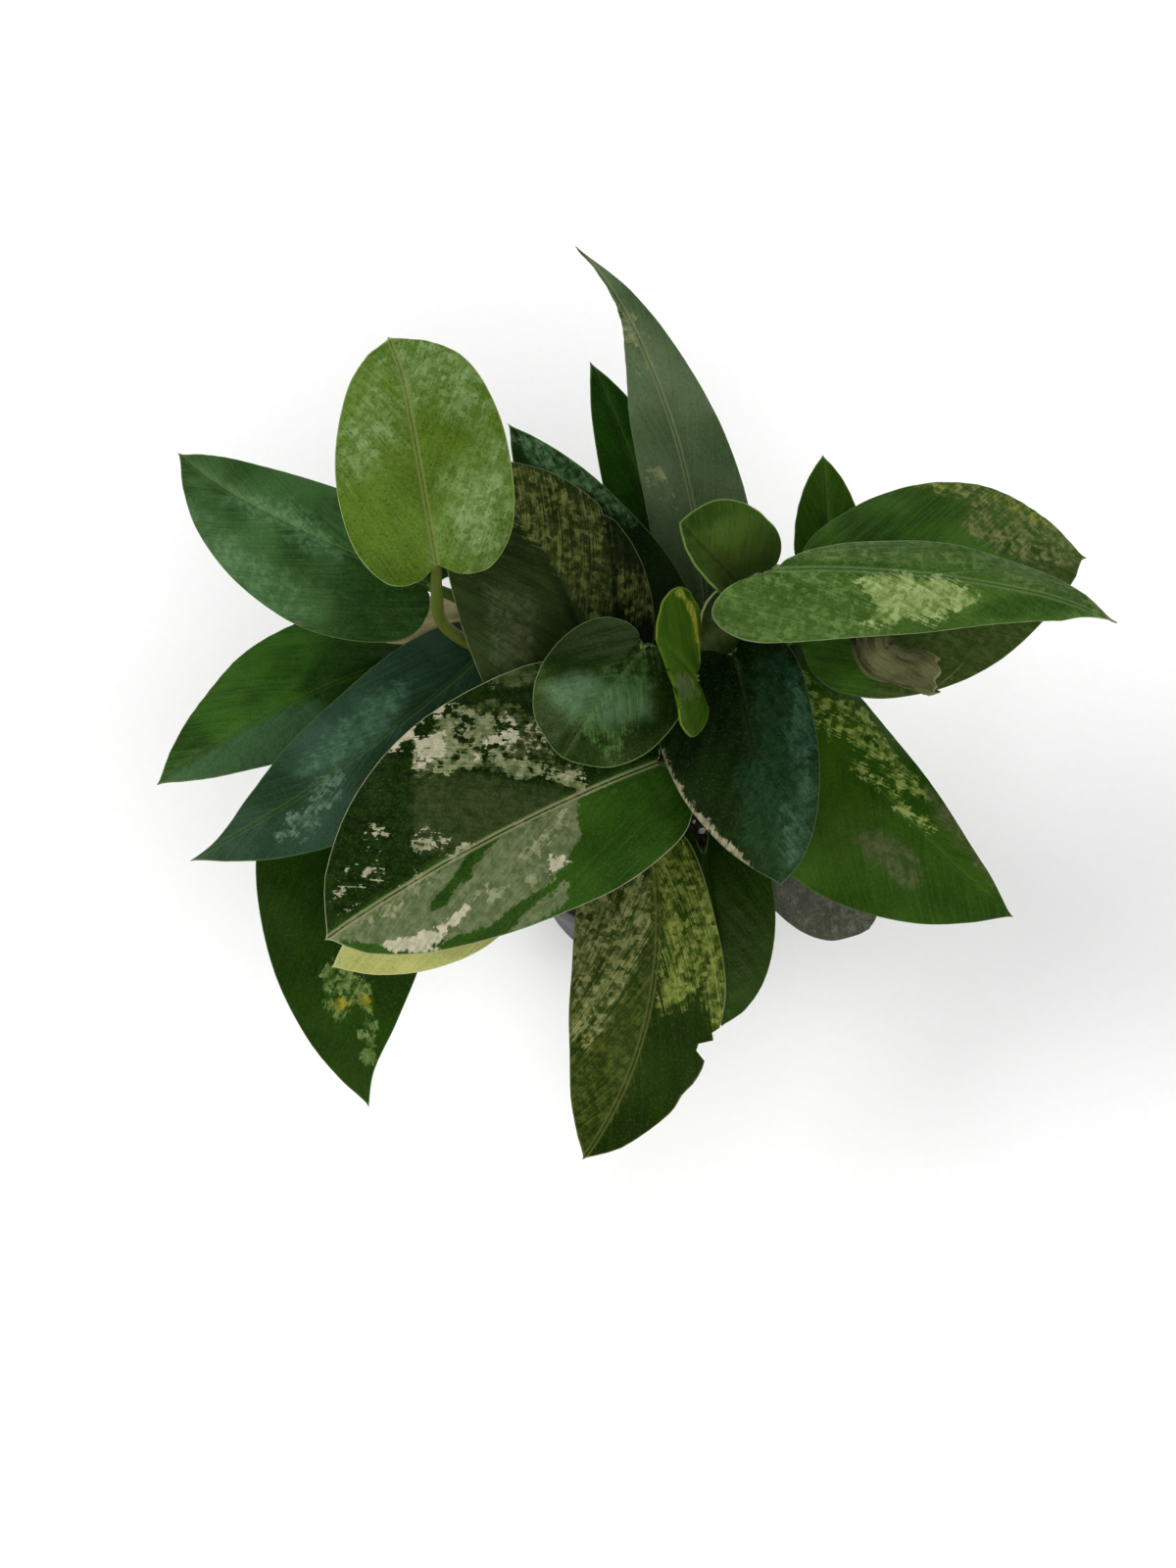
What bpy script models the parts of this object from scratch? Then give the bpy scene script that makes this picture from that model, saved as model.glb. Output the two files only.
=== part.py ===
"""Satin pothos, a young bushy plant of five short vines in a small nursery pot.

Metres, +Z up. The origin is the centre of the pot's underside, on the surface it stands on.
"""

import math
from collections import namedtuple

import bmesh
import bpy
from mathutils import Quaternion, Vector

MM = 0.001
UP = Vector((0, 0, 1))
CLEARANCE = 0.3 * MM

# The pot
POT_HEIGHT = 80 * MM
POT_TOP_RADIUS = 46 * MM
POT_BASE_RADIUS = 33 * MM
POT_WALL = 1.6 * MM
POT_FLOOR = 2.0 * MM
POT_EDGE = 0.8 * MM
RIM_HEIGHT = 9 * MM
RIM_STEP = 1.6 * MM
POT_SIDES = 48
DRAIN_HOLES = 6
DRAIN_RADIUS = 3.5 * MM
DRAIN_RING_RADIUS = 22 * MM
DRAIN_SIDES = 12

# The potting mix
SOIL_TOP = 70 * MM
SOIL_MOUND = 2.5 * MM
SOIL_SIDES = 24
SOIL_RINGS = (0.75, 0.45, 0.2)
PLANT_HOLE_DEPTH = 26 * MM
PLANT_HOLE_SIDES = 16

# The vines
STEM_RADIUS = 2.6 * MM
NODE_RADIUS = 3.1 * MM
NODE_REACH = 2.5 * MM
STEM_TIP_RADIUS = 1.4 * MM

# The leaves
BLADE_THICKNESS = 0.8 * MM
BLADE_ROWS = 14
BLADE_COLUMNS = (-1.0, -0.5, 0.0, 0.5, 1.0)
PETIOLE_STEPS = 9
COLLAR = 2.5 * MM
NECK_SHARE = 0.73
KEEL_RADIUS = 0.9 * MM
KEEL_STOPS = (0.10, 0.32, 0.58)
KEEL_TAPER = 0.2
KEEL_DEPTH = 0.6
HOOK_START = 0.7
SMOOTH_ANGLE = math.radians(40)

# Where each row of a blade leaves the midrib, and its end on the margin of one half: across,
# in half widths, and along, in lengths from the notch at the base to the tip.
RIBS = (0.00, 0.01, 0.05, 0.14, 0.31, 0.51, 0.72, 0.88, 1.00)
OUTLINES = {
    "ovate": (
        (0.00, 0.00),
        (0.30, -0.10),
        (0.68, -0.09),
        (0.95, 0.07),
        (1.00, 0.30),
        (0.93, 0.52),
        (0.70, 0.76),
        (0.32, 0.93),
        (0.00, 1.00),
    ),
    "lance": (
        (0.00, 0.00),
        (0.30, -0.05),
        (0.68, -0.03),
        (0.93, 0.12),
        (1.00, 0.32),
        (0.87, 0.56),
        (0.56, 0.78),
        (0.20, 0.93),
        (0.00, 1.00),
    ),
    "round": (
        (0.00, 0.00),
        (0.26, -0.12),
        (0.66, -0.10),
        (0.95, 0.11),
        (1.00, 0.40),
        (0.91, 0.67),
        (0.64, 0.87),
        (0.24, 0.97),
        (0.00, 1.00),
    ),
    "oval": (
        (0.00, 0.00),
        (0.26, -0.06),
        (0.60, -0.05),
        (0.90, 0.10),
        (1.00, 0.36),
        (0.95, 0.62),
        (0.72, 0.85),
        (0.34, 0.96),
        (0.00, 1.00),
    ),
    "pear": (
        (0.00, 0.00),
        (0.26, -0.06),
        (0.60, -0.05),
        (0.90, 0.10),
        (1.00, 0.33),
        (0.92, 0.56),
        (0.65, 0.80),
        (0.27, 0.94),
        (0.00, 1.00),
    ),
    "ellipse": (
        (0.00, 0.00),
        (0.22, -0.05),
        (0.50, 0.00),
        (0.78, 0.12),
        (0.97, 0.33),
        (0.97, 0.56),
        (0.76, 0.78),
        (0.32, 0.93),
        (0.00, 1.00),
    ),
    "narrow": (
        (0.00, 0.00),
        (0.08, 0.01),
        (0.30, 0.04),
        (0.62, 0.13),
        (0.93, 0.30),
        (1.00, 0.50),
        (0.80, 0.74),
        (0.35, 0.92),
        (0.00, 1.00),
    ),
    "drip": (
        (0.00, 0.00),
        (0.30, -0.05),
        (0.68, -0.03),
        (0.94, 0.11),
        (1.00, 0.31),
        (0.84, 0.54),
        (0.45, 0.74),
        (0.12, 0.88),
        (0.00, 1.00),
    ),
    "spur": (
        (0.00, 0.00),
        (0.30, -0.05),
        (0.68, -0.03),
        (0.94, 0.11),
        (1.00, 0.31),
        (0.84, 0.52),
        (0.44, 0.68),
        (0.07, 0.82),
        (0.00, 1.00),
    ),
    "wedge": (
        (0.00, 0.00),
        (0.22, -0.07),
        (0.60, -0.10),
        (0.95, 0.00),
        (1.00, 0.14),
        (0.86, 0.38),
        (0.58, 0.63),
        (0.24, 0.87),
        (0.00, 1.00),
    ),
    "arrow": (
        (0.00, 0.00),
        (0.20, -0.13),
        (0.58, -0.17),
        (0.92, -0.08),
        (1.00, 0.10),
        (0.88, 0.34),
        (0.60, 0.60),
        (0.26, 0.85),
        (0.00, 1.00),
    ),
}

# Each vine by where it leaves the mix, a point half way and its growing tip, in millimetres.
Vine = namedtuple("Vine", "foot knee top")
VINES = {
    "stem_left": Vine((-17, 7, 70), (-21, 9, 94), (-28, 13, 120)),
    "stem_front_left": Vine((-14, -13, 70), (-18, -16, 90), (-25, -21, 112)),
    "stem_front": Vine((4, -17, 70), (5, -19, 92), (6, -23, 116)),
    "stem_right": Vine((20, 0, 70), (23, 1, 94), (28, 3, 120)),
    "stem_back": Vine((3, 17, 70), (4, 20, 94), (7, 24, 120)),
}

# The first reading of each leaf's colour.
COLOURS = {
    "bright": (0.22, 0.38, 0.05, 1),
    "light": (0.16, 0.28, 0.10, 1),
    "green": (0.04, 0.14, 0.02, 1),
    "dark": (0.02, 0.08, 0.03, 1),
    "teal": (0.03, 0.11, 0.08, 1),
    "grey": (0.10, 0.14, 0.09, 1),
    "olive": (0.11, 0.14, 0.04, 1),
    "cream": (0.62, 0.60, 0.28, 1),
    "tan": (0.38, 0.28, 0.16, 1),
    "stem": (0.18, 0.26, 0.07, 1),
    "pot": (0.03, 0.03, 0.03, 1),
    "soil": (0.06, 0.04, 0.025, 1),
}
ROUGHNESS = {"pot": 0.55, "soil": 0.95, "tan": 0.75, "stem": 0.5}
LEAF_ROUGHNESS = 0.4

# A leaf hangs on its vine at a height, with its petiole led by some points. Its blade runs
# from base to tip. Lengths are in millimetres, with the petiole's thick end as stalk. Angles
# are in degrees: bend is the midrib's droop, roll leans the face to its right, fold lifts both
# halves, and curl turns the left and right margins up. skew widens the right half by a share,
# sweep bows the midrib to its right, and hook turns the tip to its right. wave is the margin's
# height, its number of waves and their start.
Leaf = namedtuple(
    "Leaf",
    "vine height by outlines base tip width colour "
    "stalk bend roll fold curl skew sweep hook wave",
    defaults=(2.2, 0, 0, 0, (0, 0), 0, 0, 0, (0, 1, 0)),
)
OVATE = ("ovate", "ovate")
LANCE = ("lance", "lance")
ROUND = ("round", "round")

LEAVES = {
    "leaf_bright": Leaf(
        "stem_left", 117, ((-35, 15, 129), (-46, 16, 138), (-55, 17, 151), (-56, 18, 167)),
        ("pear", "oval"),
        (-55, 19, 184), (-65, 71, 206), 44, "bright",
        bend=40, fold=4, curl=(-20, -20), skew=0.03, hook=-2, wave=(0.8, 1.5, 0.2),
    ),
    "leaf_left_upper": Leaf(
        "stem_left", 109, ((-35, 25, 122), (-50, 29, 139)), LANCE,
        (-60, 30, 149), (-131, 72, 140), 39, "dark",
        bend=20, roll=-8, fold=4, curl=(-20, -20), skew=-0.2, sweep=-3, wave=(0.8, 2, 0.1),
    ),
    "leaf_tan": Leaf(
        "stem_left", 92, ((-36, 20, 104), (-45, 27, 118)), LANCE,
        (-50, 30, 127), (-90, 31, 120), 15, "tan", stalk=1.4,
        bend=15, curl=(-20, -20),
    ),
    "leaf_left_silver": Leaf(
        "stem_left", 101, ((-34, 8, 107), (-43, 13, 121)), ("lance", "drip"),
        (-48, 15, 132), (-123, -38, 122), 39, "teal",
        bend=20, fold=6, curl=(-15, -15), skew=-0.1, sweep=-4.5, wave=(0.8, 2, 0.4),
    ),
    "leaf_left_green": Leaf(
        "stem_left", 84, ((-36, 15, 96), (-52, 21, 107)), LANCE,
        (-65, 24, 114), (-137, -9, 101), 41, "green",
        bend=25, roll=4, fold=-4, curl=(-10, -10), skew=0.2, sweep=2.5, wave=(0.8, 2, 0.7),
    ),
    "leaf_marbled": Leaf(
        "stem_front", 105, ((-1, -25, 122), (3, -20, 140)), OVATE,
        (0, -21, 150), (-83, -68, 150), 65, "grey",
        bend=25, roll=-4, fold=3, curl=(-25, -18), skew=0.2, sweep=2, wave=(0.9, 2.5, 0.3),
    ),
    "leaf_round": Leaf(
        "stem_front", 110, ((5, -10, 130), (4, 1, 148), (-1, 4, 164)), ROUND,
        (-4, 0, 177), (-24, -28, 173), 37, "dark",
        bend=50, curl=(-22, -22), wave=(0.5, 1.5, 0),
    ),
    "leaf_folded": Leaf(
        "stem_right", 113, ((18, 9, 132), (10, 13, 157), (8, 5, 172)), ROUND,
        (9, -11, 183), (-1, -12, 209), 36, "bright", stalk=1.8,
        bend=20, curl=(10, 25),
    ),
    "leaf_cupped": Leaf(
        "stem_back", 117, ((16, 23, 135), (21, 23, 155)), ROUND,
        (22, 21, 167), (5, 27, 191), 33, "bright", stalk=1.8,
        bend=15, fold=15, curl=(30, 30), skew=-0.06,
    ),
    "leaf_long_right": Leaf(
        "stem_right", 117, ((29, 14, 140), (30, 21, 165), (30, 18, 182)), ("narrow", "arrow"),
        (28, 13, 194), (113, 5, 184), 30, "light",
        bend=20, fold=-12, curl=(-25, -20), skew=0.2, sweep=-2.5, wave=(0.8, 2, 0.3),
    ),
    "sheath_dry": Leaf(
        "stem_right", 117, ((34, 6, 130), (32, 8, 144), (34, 9, 160), (43, 10, 175)), LANCE,
        (53, 10, 177), (67, -4, 171), 21, "tan", stalk=1.3,
        curl=(-95, -95), sweep=4,
    ),
    "leaf_right_broad": Leaf(
        "stem_right", 109, ((34, 12, 124), (37, 19, 144)), ("ellipse", "lance"),
        (41, 18, 158), (114, 41, 148), 58, "olive",
        bend=25, fold=4, curl=(-20, -20), skew=0.02, hook=1, wave=(0.8, 2, 0.2),
    ),
    "leaf_right_front": Leaf(
        "stem_right", 96, ((33, -3, 110), (33, -2, 130)), ("wedge", "lance"),
        (36, -1, 142), (93, -55, 124), 50, "green",
        bend=25, roll=6, curl=(-45, -15), skew=0.3, sweep=1.5, hook=-1, wave=(0.8, 2, 0.2),
    ),
    "leaf_grey": Leaf(
        "stem_right", 84, ((30, -10, 94),), ROUND,
        (34, -20, 103), (60, -48, 92), 34, "grey",
        bend=15, curl=(-15, -15),
    ),
    "leaf_right_back": Leaf(
        "stem_back", 96, ((26, 31, 108), (42, 36, 119)), LANCE,
        (49, 40, 126), (47, 74, 138), 19, "olive", stalk=1.8,
        bend=10, fold=8, curl=(-5, -5),
    ),
    "leaf_tall": Leaf(
        "stem_back", 103, ((11, 32, 108),), ("spur", "wedge"),
        (15, 39, 118), (-18, 121, 170), 29, "grey",
        bend=15, fold=8, curl=(-15, -15), skew=0.1, sweep=6, hook=-3,
    ),
    "leaf_tall_back": Leaf(
        "stem_back", 88, ((5, 36, 98),), LANCE,
        (5, 46, 107), (-17, 105, 135), 22, "dark",
        bend=15, fold=8, curl=(-10, -10), sweep=2,
    ),
    "leaf_back_left": Leaf(
        "stem_back", 110, ((4, 18, 124),), LANCE,
        (6, 19, 138), (-39, 76, 152), 28, "dark",
        bend=15, fold=4, curl=(-15, -15), skew=-0.15, wave=(0.6, 2, 0.2),
    ),
    "leaf_smoky": Leaf(
        "stem_front_left", 108, ((-20, -10, 124), (-17, 0, 136)), OVATE,
        (-16, 6, 143), (-49, 57, 166), 52, "olive",
        bend=20, fold=4, curl=(-15, -15), skew=-0.14, sweep=5, wave=(0.8, 2, 0.1),
    ),
    "leaf_teal": Leaf(
        "stem_right", 103, ((22, -2, 122), (22, 1, 145)), ("ovate", "lance"),
        (19, 3, 164), (31, -54, 150), 40, "teal",
        bend=25, fold=4, curl=(-15, -15), skew=0.15, wave=(0.6, 2, 0.1),
    ),
    "leaf_front_mottled": Leaf(
        "stem_front", 92, ((2, -32, 108),), ("ovate", "lance"),
        (0, -39, 124), (-19, -111, 88), 43, "olive",
        bend=25, fold=4, curl=(10, -15), skew=0.06, sweep=-8, wave=(1.4, 3, 0.2),
    ),
    "leaf_front_green": Leaf(
        "stem_front", 82, ((10, -28, 92),), OVATE,
        (13, -36, 104), (19, -75, 90), 36, "green",
        bend=25, fold=4, curl=(-15, -15),
    ),
    "leaf_left_front": Leaf(
        "stem_front_left", 84, ((-48, -16, 94), (-72, -6, 104)), ("drip", "lance"),
        (-82, -9, 104), (-77, -96, 84), 48, "dark",
        bend=25, fold=6, curl=(-12, -12), skew=0.15, wave=(0.8, 2, 0.4),
    ),
    "leaf_pale": Leaf(
        "stem_front_left", 98, ((-27, -34, 112), (-36, -42, 124)), LANCE,
        (-42, -49, 130), (-84, -68, 125), 26, "cream",
        bend=15, curl=(-20, -20),
    ),
}


def metres(point):
    """A point given in millimetres, as a vector in metres."""
    return Vector(point) * MM


def through(stops, share):
    """The point at a share of the smooth curve that passes through the stops."""
    at = share * (len(stops) - 1)
    i = min(int(at), len(stops) - 2)
    t = at - i
    b = Vector(stops[i])
    c = Vector(stops[i + 1])
    a = Vector(stops[i - 1]) if i else b * 2 - c
    d = Vector(stops[i + 2]) if i + 2 < len(stops) else c * 2 - b
    flat = b * 2 + (c - a) * t
    curved = (a * 2 - b * 5 + c * 4 - d) * t**2 + (b * 3 - a - c * 3 + d) * t**3
    return (flat + curved) / 2


class Blade:
    """The surface of one leaf blade, bent and folded in space."""

    def __init__(self, leaf):
        self.leaf = leaf
        self.base = metres(leaf.base)
        chord = metres(leaf.tip) - self.base
        self.along = chord.normalized()
        face = (UP - self.along * UP.dot(self.along)).normalized()
        self.face = Quaternion(self.along, math.radians(leaf.roll)) @ face
        self.bend = math.radians(leaf.bend) or 1e-4
        self.length = chord.length * (self.bend / 2) / math.sin(self.bend / 2)

    def midrib(self, y):
        """Place, heading, right side and face of the midrib at a share of its length."""
        leaf = self.leaf
        half = self.bend / 2
        angle = half - self.bend * y
        run = (math.sin(half) - math.sin(angle)) / self.bend
        rise = (math.cos(angle) - math.cos(half)) / self.bend
        heading = self.along * math.cos(angle) + self.face * math.sin(angle)
        face = self.face * math.cos(angle) - self.along * math.sin(angle)
        side = heading.cross(face)
        end = max(0.0, y - HOOK_START) / (1 - HOOK_START)
        aside = leaf.sweep * 4 * y * (1 - y) + leaf.hook * end**2
        place = self.base + (self.along * run + self.face * rise) * self.length
        return place + side * aside * MM, heading, side, face

    def point(self, x, y):
        """The surface at x half widths across, right positive, and y lengths along."""
        leaf = self.leaf
        place, _, side, face = self.midrib(y)
        skew = leaf.skew if x > 0 else -leaf.skew
        half = leaf.width * MM / 2 * (1 + skew)
        fold = math.radians(leaf.fold)
        curl = math.radians(leaf.curl[x > 0]) or 1e-4
        lift = fold + curl * abs(x)
        out = half / curl * (math.sin(lift) - math.sin(fold))
        up = half / curl * (math.cos(fold) - math.cos(lift))
        size, count, start = leaf.wave
        up += size * MM * x**2 * math.sin(math.tau * (count * y + start + (0.5 if x > 0 else 0)))
        return place + side * math.copysign(out, x) + face * up


def new_object(name, mesh, colour):
    """Links a mesh to the scene as an object with its own material."""
    mesh.materials.clear()
    made = bpy.data.materials.new(name)
    made.use_nodes = True
    shader = made.node_tree.nodes["Principled BSDF"]
    shader.inputs["Base Color"].default_value = COLOURS[colour]
    shader.inputs["Roughness"].default_value = ROUGHNESS.get(colour, LEAF_ROUGHNESS)
    shader.inputs["Metallic"].default_value = 0
    mesh.materials.append(made)
    obj = bpy.data.objects.new(name, mesh)
    bpy.context.scene.collection.objects.link(obj)
    return obj


def mesh_of(name, bm):
    """Turns a bmesh into a mesh with its faces out."""
    bmesh.ops.recalc_face_normals(bm, faces=bm.faces)
    mesh = bpy.data.meshes.new(name)
    bm.to_mesh(mesh)
    bm.free()
    return mesh


def evaluated_mesh(obj):
    """A new mesh of what the object's curve or modifiers make."""
    bpy.context.view_layer.update()
    graph = bpy.context.evaluated_depsgraph_get()
    return bpy.data.meshes.new_from_object(obj.evaluated_get(graph))


def tube(name, points, radii, resolution, colour):
    """A round tube along the points, with a radius at each and closed ends."""
    curve = bpy.data.curves.new(name, "CURVE")
    curve.dimensions = "3D"
    curve.bevel_depth = 1
    curve.bevel_resolution = resolution
    curve.use_fill_caps = True
    spline = curve.splines.new("POLY")
    spline.points.add(len(points) - 1)
    for knot, point, radius in zip(spline.points, points, radii):
        knot.co = (*point, 1)
        knot.radius = radius
    guide = bpy.data.objects.new(name, curve)
    bpy.context.scene.collection.objects.link(guide)
    bm = bmesh.new()
    bm.from_mesh(evaluated_mesh(guide))
    bpy.data.objects.remove(guide)
    bmesh.ops.remove_doubles(bm, verts=bm.verts, dist=1e-6)
    return new_object(name, mesh_of(name, bm), colour)


def combine(body, other, operation):
    """Fuses another closed body into this one, or cuts it out, and removes it."""
    modifier = body.modifiers.new(operation, "BOOLEAN")
    modifier.operation = operation
    modifier.solver = "EXACT"
    modifier.object = other
    mesh = evaluated_mesh(body)
    body.modifiers.clear()
    body.data = mesh
    bpy.data.objects.remove(other)


def blade_shell(name, leaf, blade):
    """The blade as a thin shell: a grid stretched between the midrib and the two margins."""
    sides = [OUTLINES[shape] for shape in leaf.outlines]
    columns = len(BLADE_COLUMNS) - 1
    bm = bmesh.new()
    bmesh.ops.create_grid(bm, x_segments=columns, y_segments=BLADE_ROWS, size=1)
    for vert in bm.verts:
        reach = BLADE_COLUMNS[round((vert.co.x + 1) / 2 * columns)]
        share = (vert.co.y + 1) / 2
        rows = [(*row, rib) for row, rib in zip(sides[reach > 0], RIBS)]
        across, along, rib = through(rows, share)
        vert.co = blade.point(across * reach, rib + (along - rib) * abs(reach))
    bmesh.ops.remove_doubles(bm, verts=bm.verts, dist=1e-5)
    bmesh.ops.triangulate(bm, faces=bm.faces)
    shell = new_object(name, mesh_of(name, bm), leaf.colour)
    skin = shell.modifiers.new("thickness", "SOLIDIFY")
    skin.thickness = BLADE_THICKNESS
    skin.offset = 0
    mesh = evaluated_mesh(shell)
    shell.modifiers.clear()
    shell.data = mesh
    return shell


def vine_stops(vine):
    """The vine's axis from its end in the mix to its growing tip."""
    foot = metres(vine.foot)
    root = foot - UP * (PLANT_HOLE_DEPTH - CLEARANCE)
    return root, foot, metres(vine.knee), metres(vine.top)


def vine_at(vine, height):
    """The vine's axis and its direction at a height."""
    stops = vine_stops(vine)[1:]
    low = 0.0
    high = 1.0
    for _ in range(30):
        middle = (low + high) / 2
        if through(stops, middle).z < height:
            low = middle
        else:
            high = middle
    ahead = through(stops, min(1.0, low + 0.05)) - through(stops, max(0.0, low - 0.05))
    return through(stops, low), ahead.normalized()


def petiole_path(leaf, blade):
    """From the vine's side, led by the leaf's points, to the notch of the blade."""
    axis, rise = vine_at(VINES[leaf.vine], leaf.height * MM)
    led = [metres(point) for point in leaf.by]
    out = led[0] - axis
    out = (out - rise * out.dot(rise)).normalized()
    start = axis + out * (NODE_RADIUS + CLEARANCE)
    base, heading, _, face = blade.midrib(0)
    end = base - face * KEEL_RADIUS
    stops = [start + out * COLLAR, *led, end]
    return [start] + [through(stops, i / PETIOLE_STEPS) for i in range(PETIOLE_STEPS + 1)]


def make_leaf(name, leaf):
    """A leaf: its blade, with the petiole fused on, which runs on as a keel under the midrib."""
    blade = Blade(leaf)
    shell = blade_shell(name, leaf, blade)
    points = petiole_path(leaf, blade)
    taper = (1 - NECK_SHARE) / (len(points) - 1)
    radii = [leaf.stalk * MM * (1 - taper * i) for i in range(len(points))]
    for i, share in enumerate(KEEL_STOPS):
        place, _, _, face = blade.midrib(share)
        radius = KEEL_RADIUS * (1 - KEEL_TAPER * i)
        points.append(place - face * radius * KEEL_DEPTH)
        radii.append(radius)
    combine(shell, tube(name + "_stalk", points, radii, 1, leaf.colour), "UNION")
    shell.data.shade_smooth()
    shell.data.set_sharp_from_angle(angle=SMOOTH_ANGLE)


def make_stem(name, vine):
    """A vine with a swollen ring at each leaf that it carries."""
    root, foot, _, top = vine_stops(vine)
    rings = sorted(leaf.height * MM for leaf in LEAVES.values() if VINES[leaf.vine] is vine)
    points = [root, foot]
    radii = [STEM_RADIUS, STEM_RADIUS]
    for ring in rings:
        for offset, radius in ((-NODE_REACH, STEM_RADIUS), (0, NODE_RADIUS)):
            points.append(vine_at(vine, ring + offset)[0])
            radii.append(radius)
    points.append(top)
    radii.append(STEM_TIP_RADIUS)
    tube(name, points, radii, 2, "stem").data.shade_smooth()


def turned(name, profile, sides, colour):
    """A solid turned round the Z axis from a profile of (radius, height) points."""
    bm = bmesh.new()
    verts = [bm.verts.new((radius, 0, height)) for radius, height in profile]
    edges = [bm.edges.new(pair) for pair in zip(verts, verts[1:])]
    bmesh.ops.spin(
        bm,
        geom=verts + edges,
        axis=UP,
        cent=(0, 0, 0),
        angle=math.tau,
        steps=sides,
        use_merge=True,
    )
    bmesh.ops.remove_doubles(bm, verts=bm.verts, dist=1e-6)
    return new_object(name, mesh_of(name, bm), colour)


def plug(name, radius, low, high, place, sides):
    """A cutter: an upright cylinder between two heights."""
    bm = bmesh.new()
    bmesh.ops.create_cone(
        bm, cap_ends=True, segments=sides, radius1=radius, radius2=radius, depth=high - low
    )
    bmesh.ops.translate(bm, verts=bm.verts, vec=(place[0], place[1], (low + high) / 2))
    return new_object(name, mesh_of(name, bm), "soil")


def pot_radius(height):
    """The pot's outer radius at a height, without its rim."""
    slope = (POT_TOP_RADIUS - RIM_STEP - POT_BASE_RADIUS) / POT_HEIGHT
    return POT_BASE_RADIUS + slope * height


def make_pot():
    """A thin tapered pot with a stepped rim and a ring of drain holes."""
    rim_low = POT_HEIGHT - RIM_HEIGHT
    profile = (
        (0, 0),
        (POT_BASE_RADIUS - POT_EDGE, 0),
        (pot_radius(POT_EDGE), POT_EDGE),
        (pot_radius(rim_low), rim_low),
        (POT_TOP_RADIUS - POT_EDGE, rim_low),
        (POT_TOP_RADIUS, rim_low + POT_EDGE),
        (POT_TOP_RADIUS, POT_HEIGHT - POT_EDGE),
        (POT_TOP_RADIUS - POT_EDGE, POT_HEIGHT),
        (pot_radius(POT_HEIGHT) - POT_WALL, POT_HEIGHT),
        (pot_radius(POT_FLOOR) - POT_WALL, POT_FLOOR),
        (0, POT_FLOOR),
    )
    pot = turned("pot", profile, POT_SIDES, "pot")
    for i in range(DRAIN_HOLES):
        angle = math.tau * i / DRAIN_HOLES
        place = Vector((math.cos(angle), math.sin(angle))) * DRAIN_RING_RADIUS
        drain = plug("drain", DRAIN_RADIUS, -POT_FLOOR, POT_FLOOR * 2, place, DRAIN_SIDES)
        combine(pot, drain, "DIFFERENCE")
    pot.data.shade_smooth()
    pot.data.set_sharp_from_angle(angle=SMOOTH_ANGLE)


def make_soil():
    """The mix: a plug just clear of the pot, mounded on top, with a hole for each vine."""
    low = POT_FLOOR + CLEARANCE
    inset = POT_WALL + CLEARANCE
    edge = pot_radius(SOIL_TOP) - inset
    profile = [(0, low), (pot_radius(low) - inset, low), (edge, SOIL_TOP)]
    profile += [(edge * ring, SOIL_TOP + SOIL_MOUND * (1 - ring**2)) for ring in SOIL_RINGS]
    profile.append((0, SOIL_TOP + SOIL_MOUND))
    soil = turned("soil", profile, SOIL_SIDES, "soil")
    for vine in VINES.values():
        foot = metres(vine.foot)
        floor = foot.z - PLANT_HOLE_DEPTH
        roof = SOIL_TOP + SOIL_MOUND * 2
        hole = plug("hole", STEM_RADIUS + CLEARANCE * 3, floor, roof, foot, PLANT_HOLE_SIDES)
        combine(soil, hole, "DIFFERENCE")


def main():
    for obj in list(bpy.data.objects):
        bpy.data.objects.remove(obj)
    make_pot()
    make_soil()
    for name, vine in VINES.items():
        make_stem(name, vine)
    for name, leaf in LEAVES.items():
        make_leaf(name, leaf)


main()
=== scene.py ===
import math
import random

import bmesh
import bpy
import numpy as np
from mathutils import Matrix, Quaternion, Vector, noise


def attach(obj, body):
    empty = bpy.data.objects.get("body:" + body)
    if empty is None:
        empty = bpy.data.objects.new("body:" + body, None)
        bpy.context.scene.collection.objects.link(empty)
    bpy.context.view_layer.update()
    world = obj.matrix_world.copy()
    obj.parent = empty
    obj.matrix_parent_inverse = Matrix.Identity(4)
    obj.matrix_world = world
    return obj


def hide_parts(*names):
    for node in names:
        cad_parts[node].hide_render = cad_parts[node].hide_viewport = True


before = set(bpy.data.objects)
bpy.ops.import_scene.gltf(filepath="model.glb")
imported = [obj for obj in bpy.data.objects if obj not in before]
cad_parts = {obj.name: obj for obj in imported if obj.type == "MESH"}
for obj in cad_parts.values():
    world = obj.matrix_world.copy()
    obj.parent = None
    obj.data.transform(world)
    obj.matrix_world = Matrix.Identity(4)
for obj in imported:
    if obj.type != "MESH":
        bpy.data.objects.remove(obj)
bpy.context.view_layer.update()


# The pot
# A thin nursery pot of black polypropylene, moulded in one piece. Its stepped rim stiffens the
# lip and stops stacked pots from jamming, and six holes through its floor let water out.

MM = 0.001
UP = Vector((0, 0, 1))
POT_HEIGHT = 80 * MM
POT_TOP_RADIUS = 46 * MM
POT_BASE_RADIUS = 33 * MM
POT_WALL = 1.6 * MM
POT_FLOOR = 2.0 * MM
RIM_HEIGHT = 9 * MM
RIM_STEP = 1.6 * MM
POT_ROUNDING = 0.35 * MM
POT_SIDES = 96
DRAIN_HOLES = 6
DRAIN_RADIUS = 3.5 * MM
DRAIN_RING_RADIUS = 22 * MM
CREASE = math.radians(40)


def node(tree, kind, sockets=(), **settings):
    """Adds a shader node. A socket is given a plain value or another node's output."""
    made = tree.nodes.new("ShaderNode" + kind)
    for name, value in settings.items():
        setattr(made, name, value)
    for name, value in dict(sockets).items():
        socket = made.inputs[name]
        if isinstance(value, bpy.types.NodeSocket):
            tree.links.new(value, socket)
        else:
            socket.default_value = value
    return made


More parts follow.
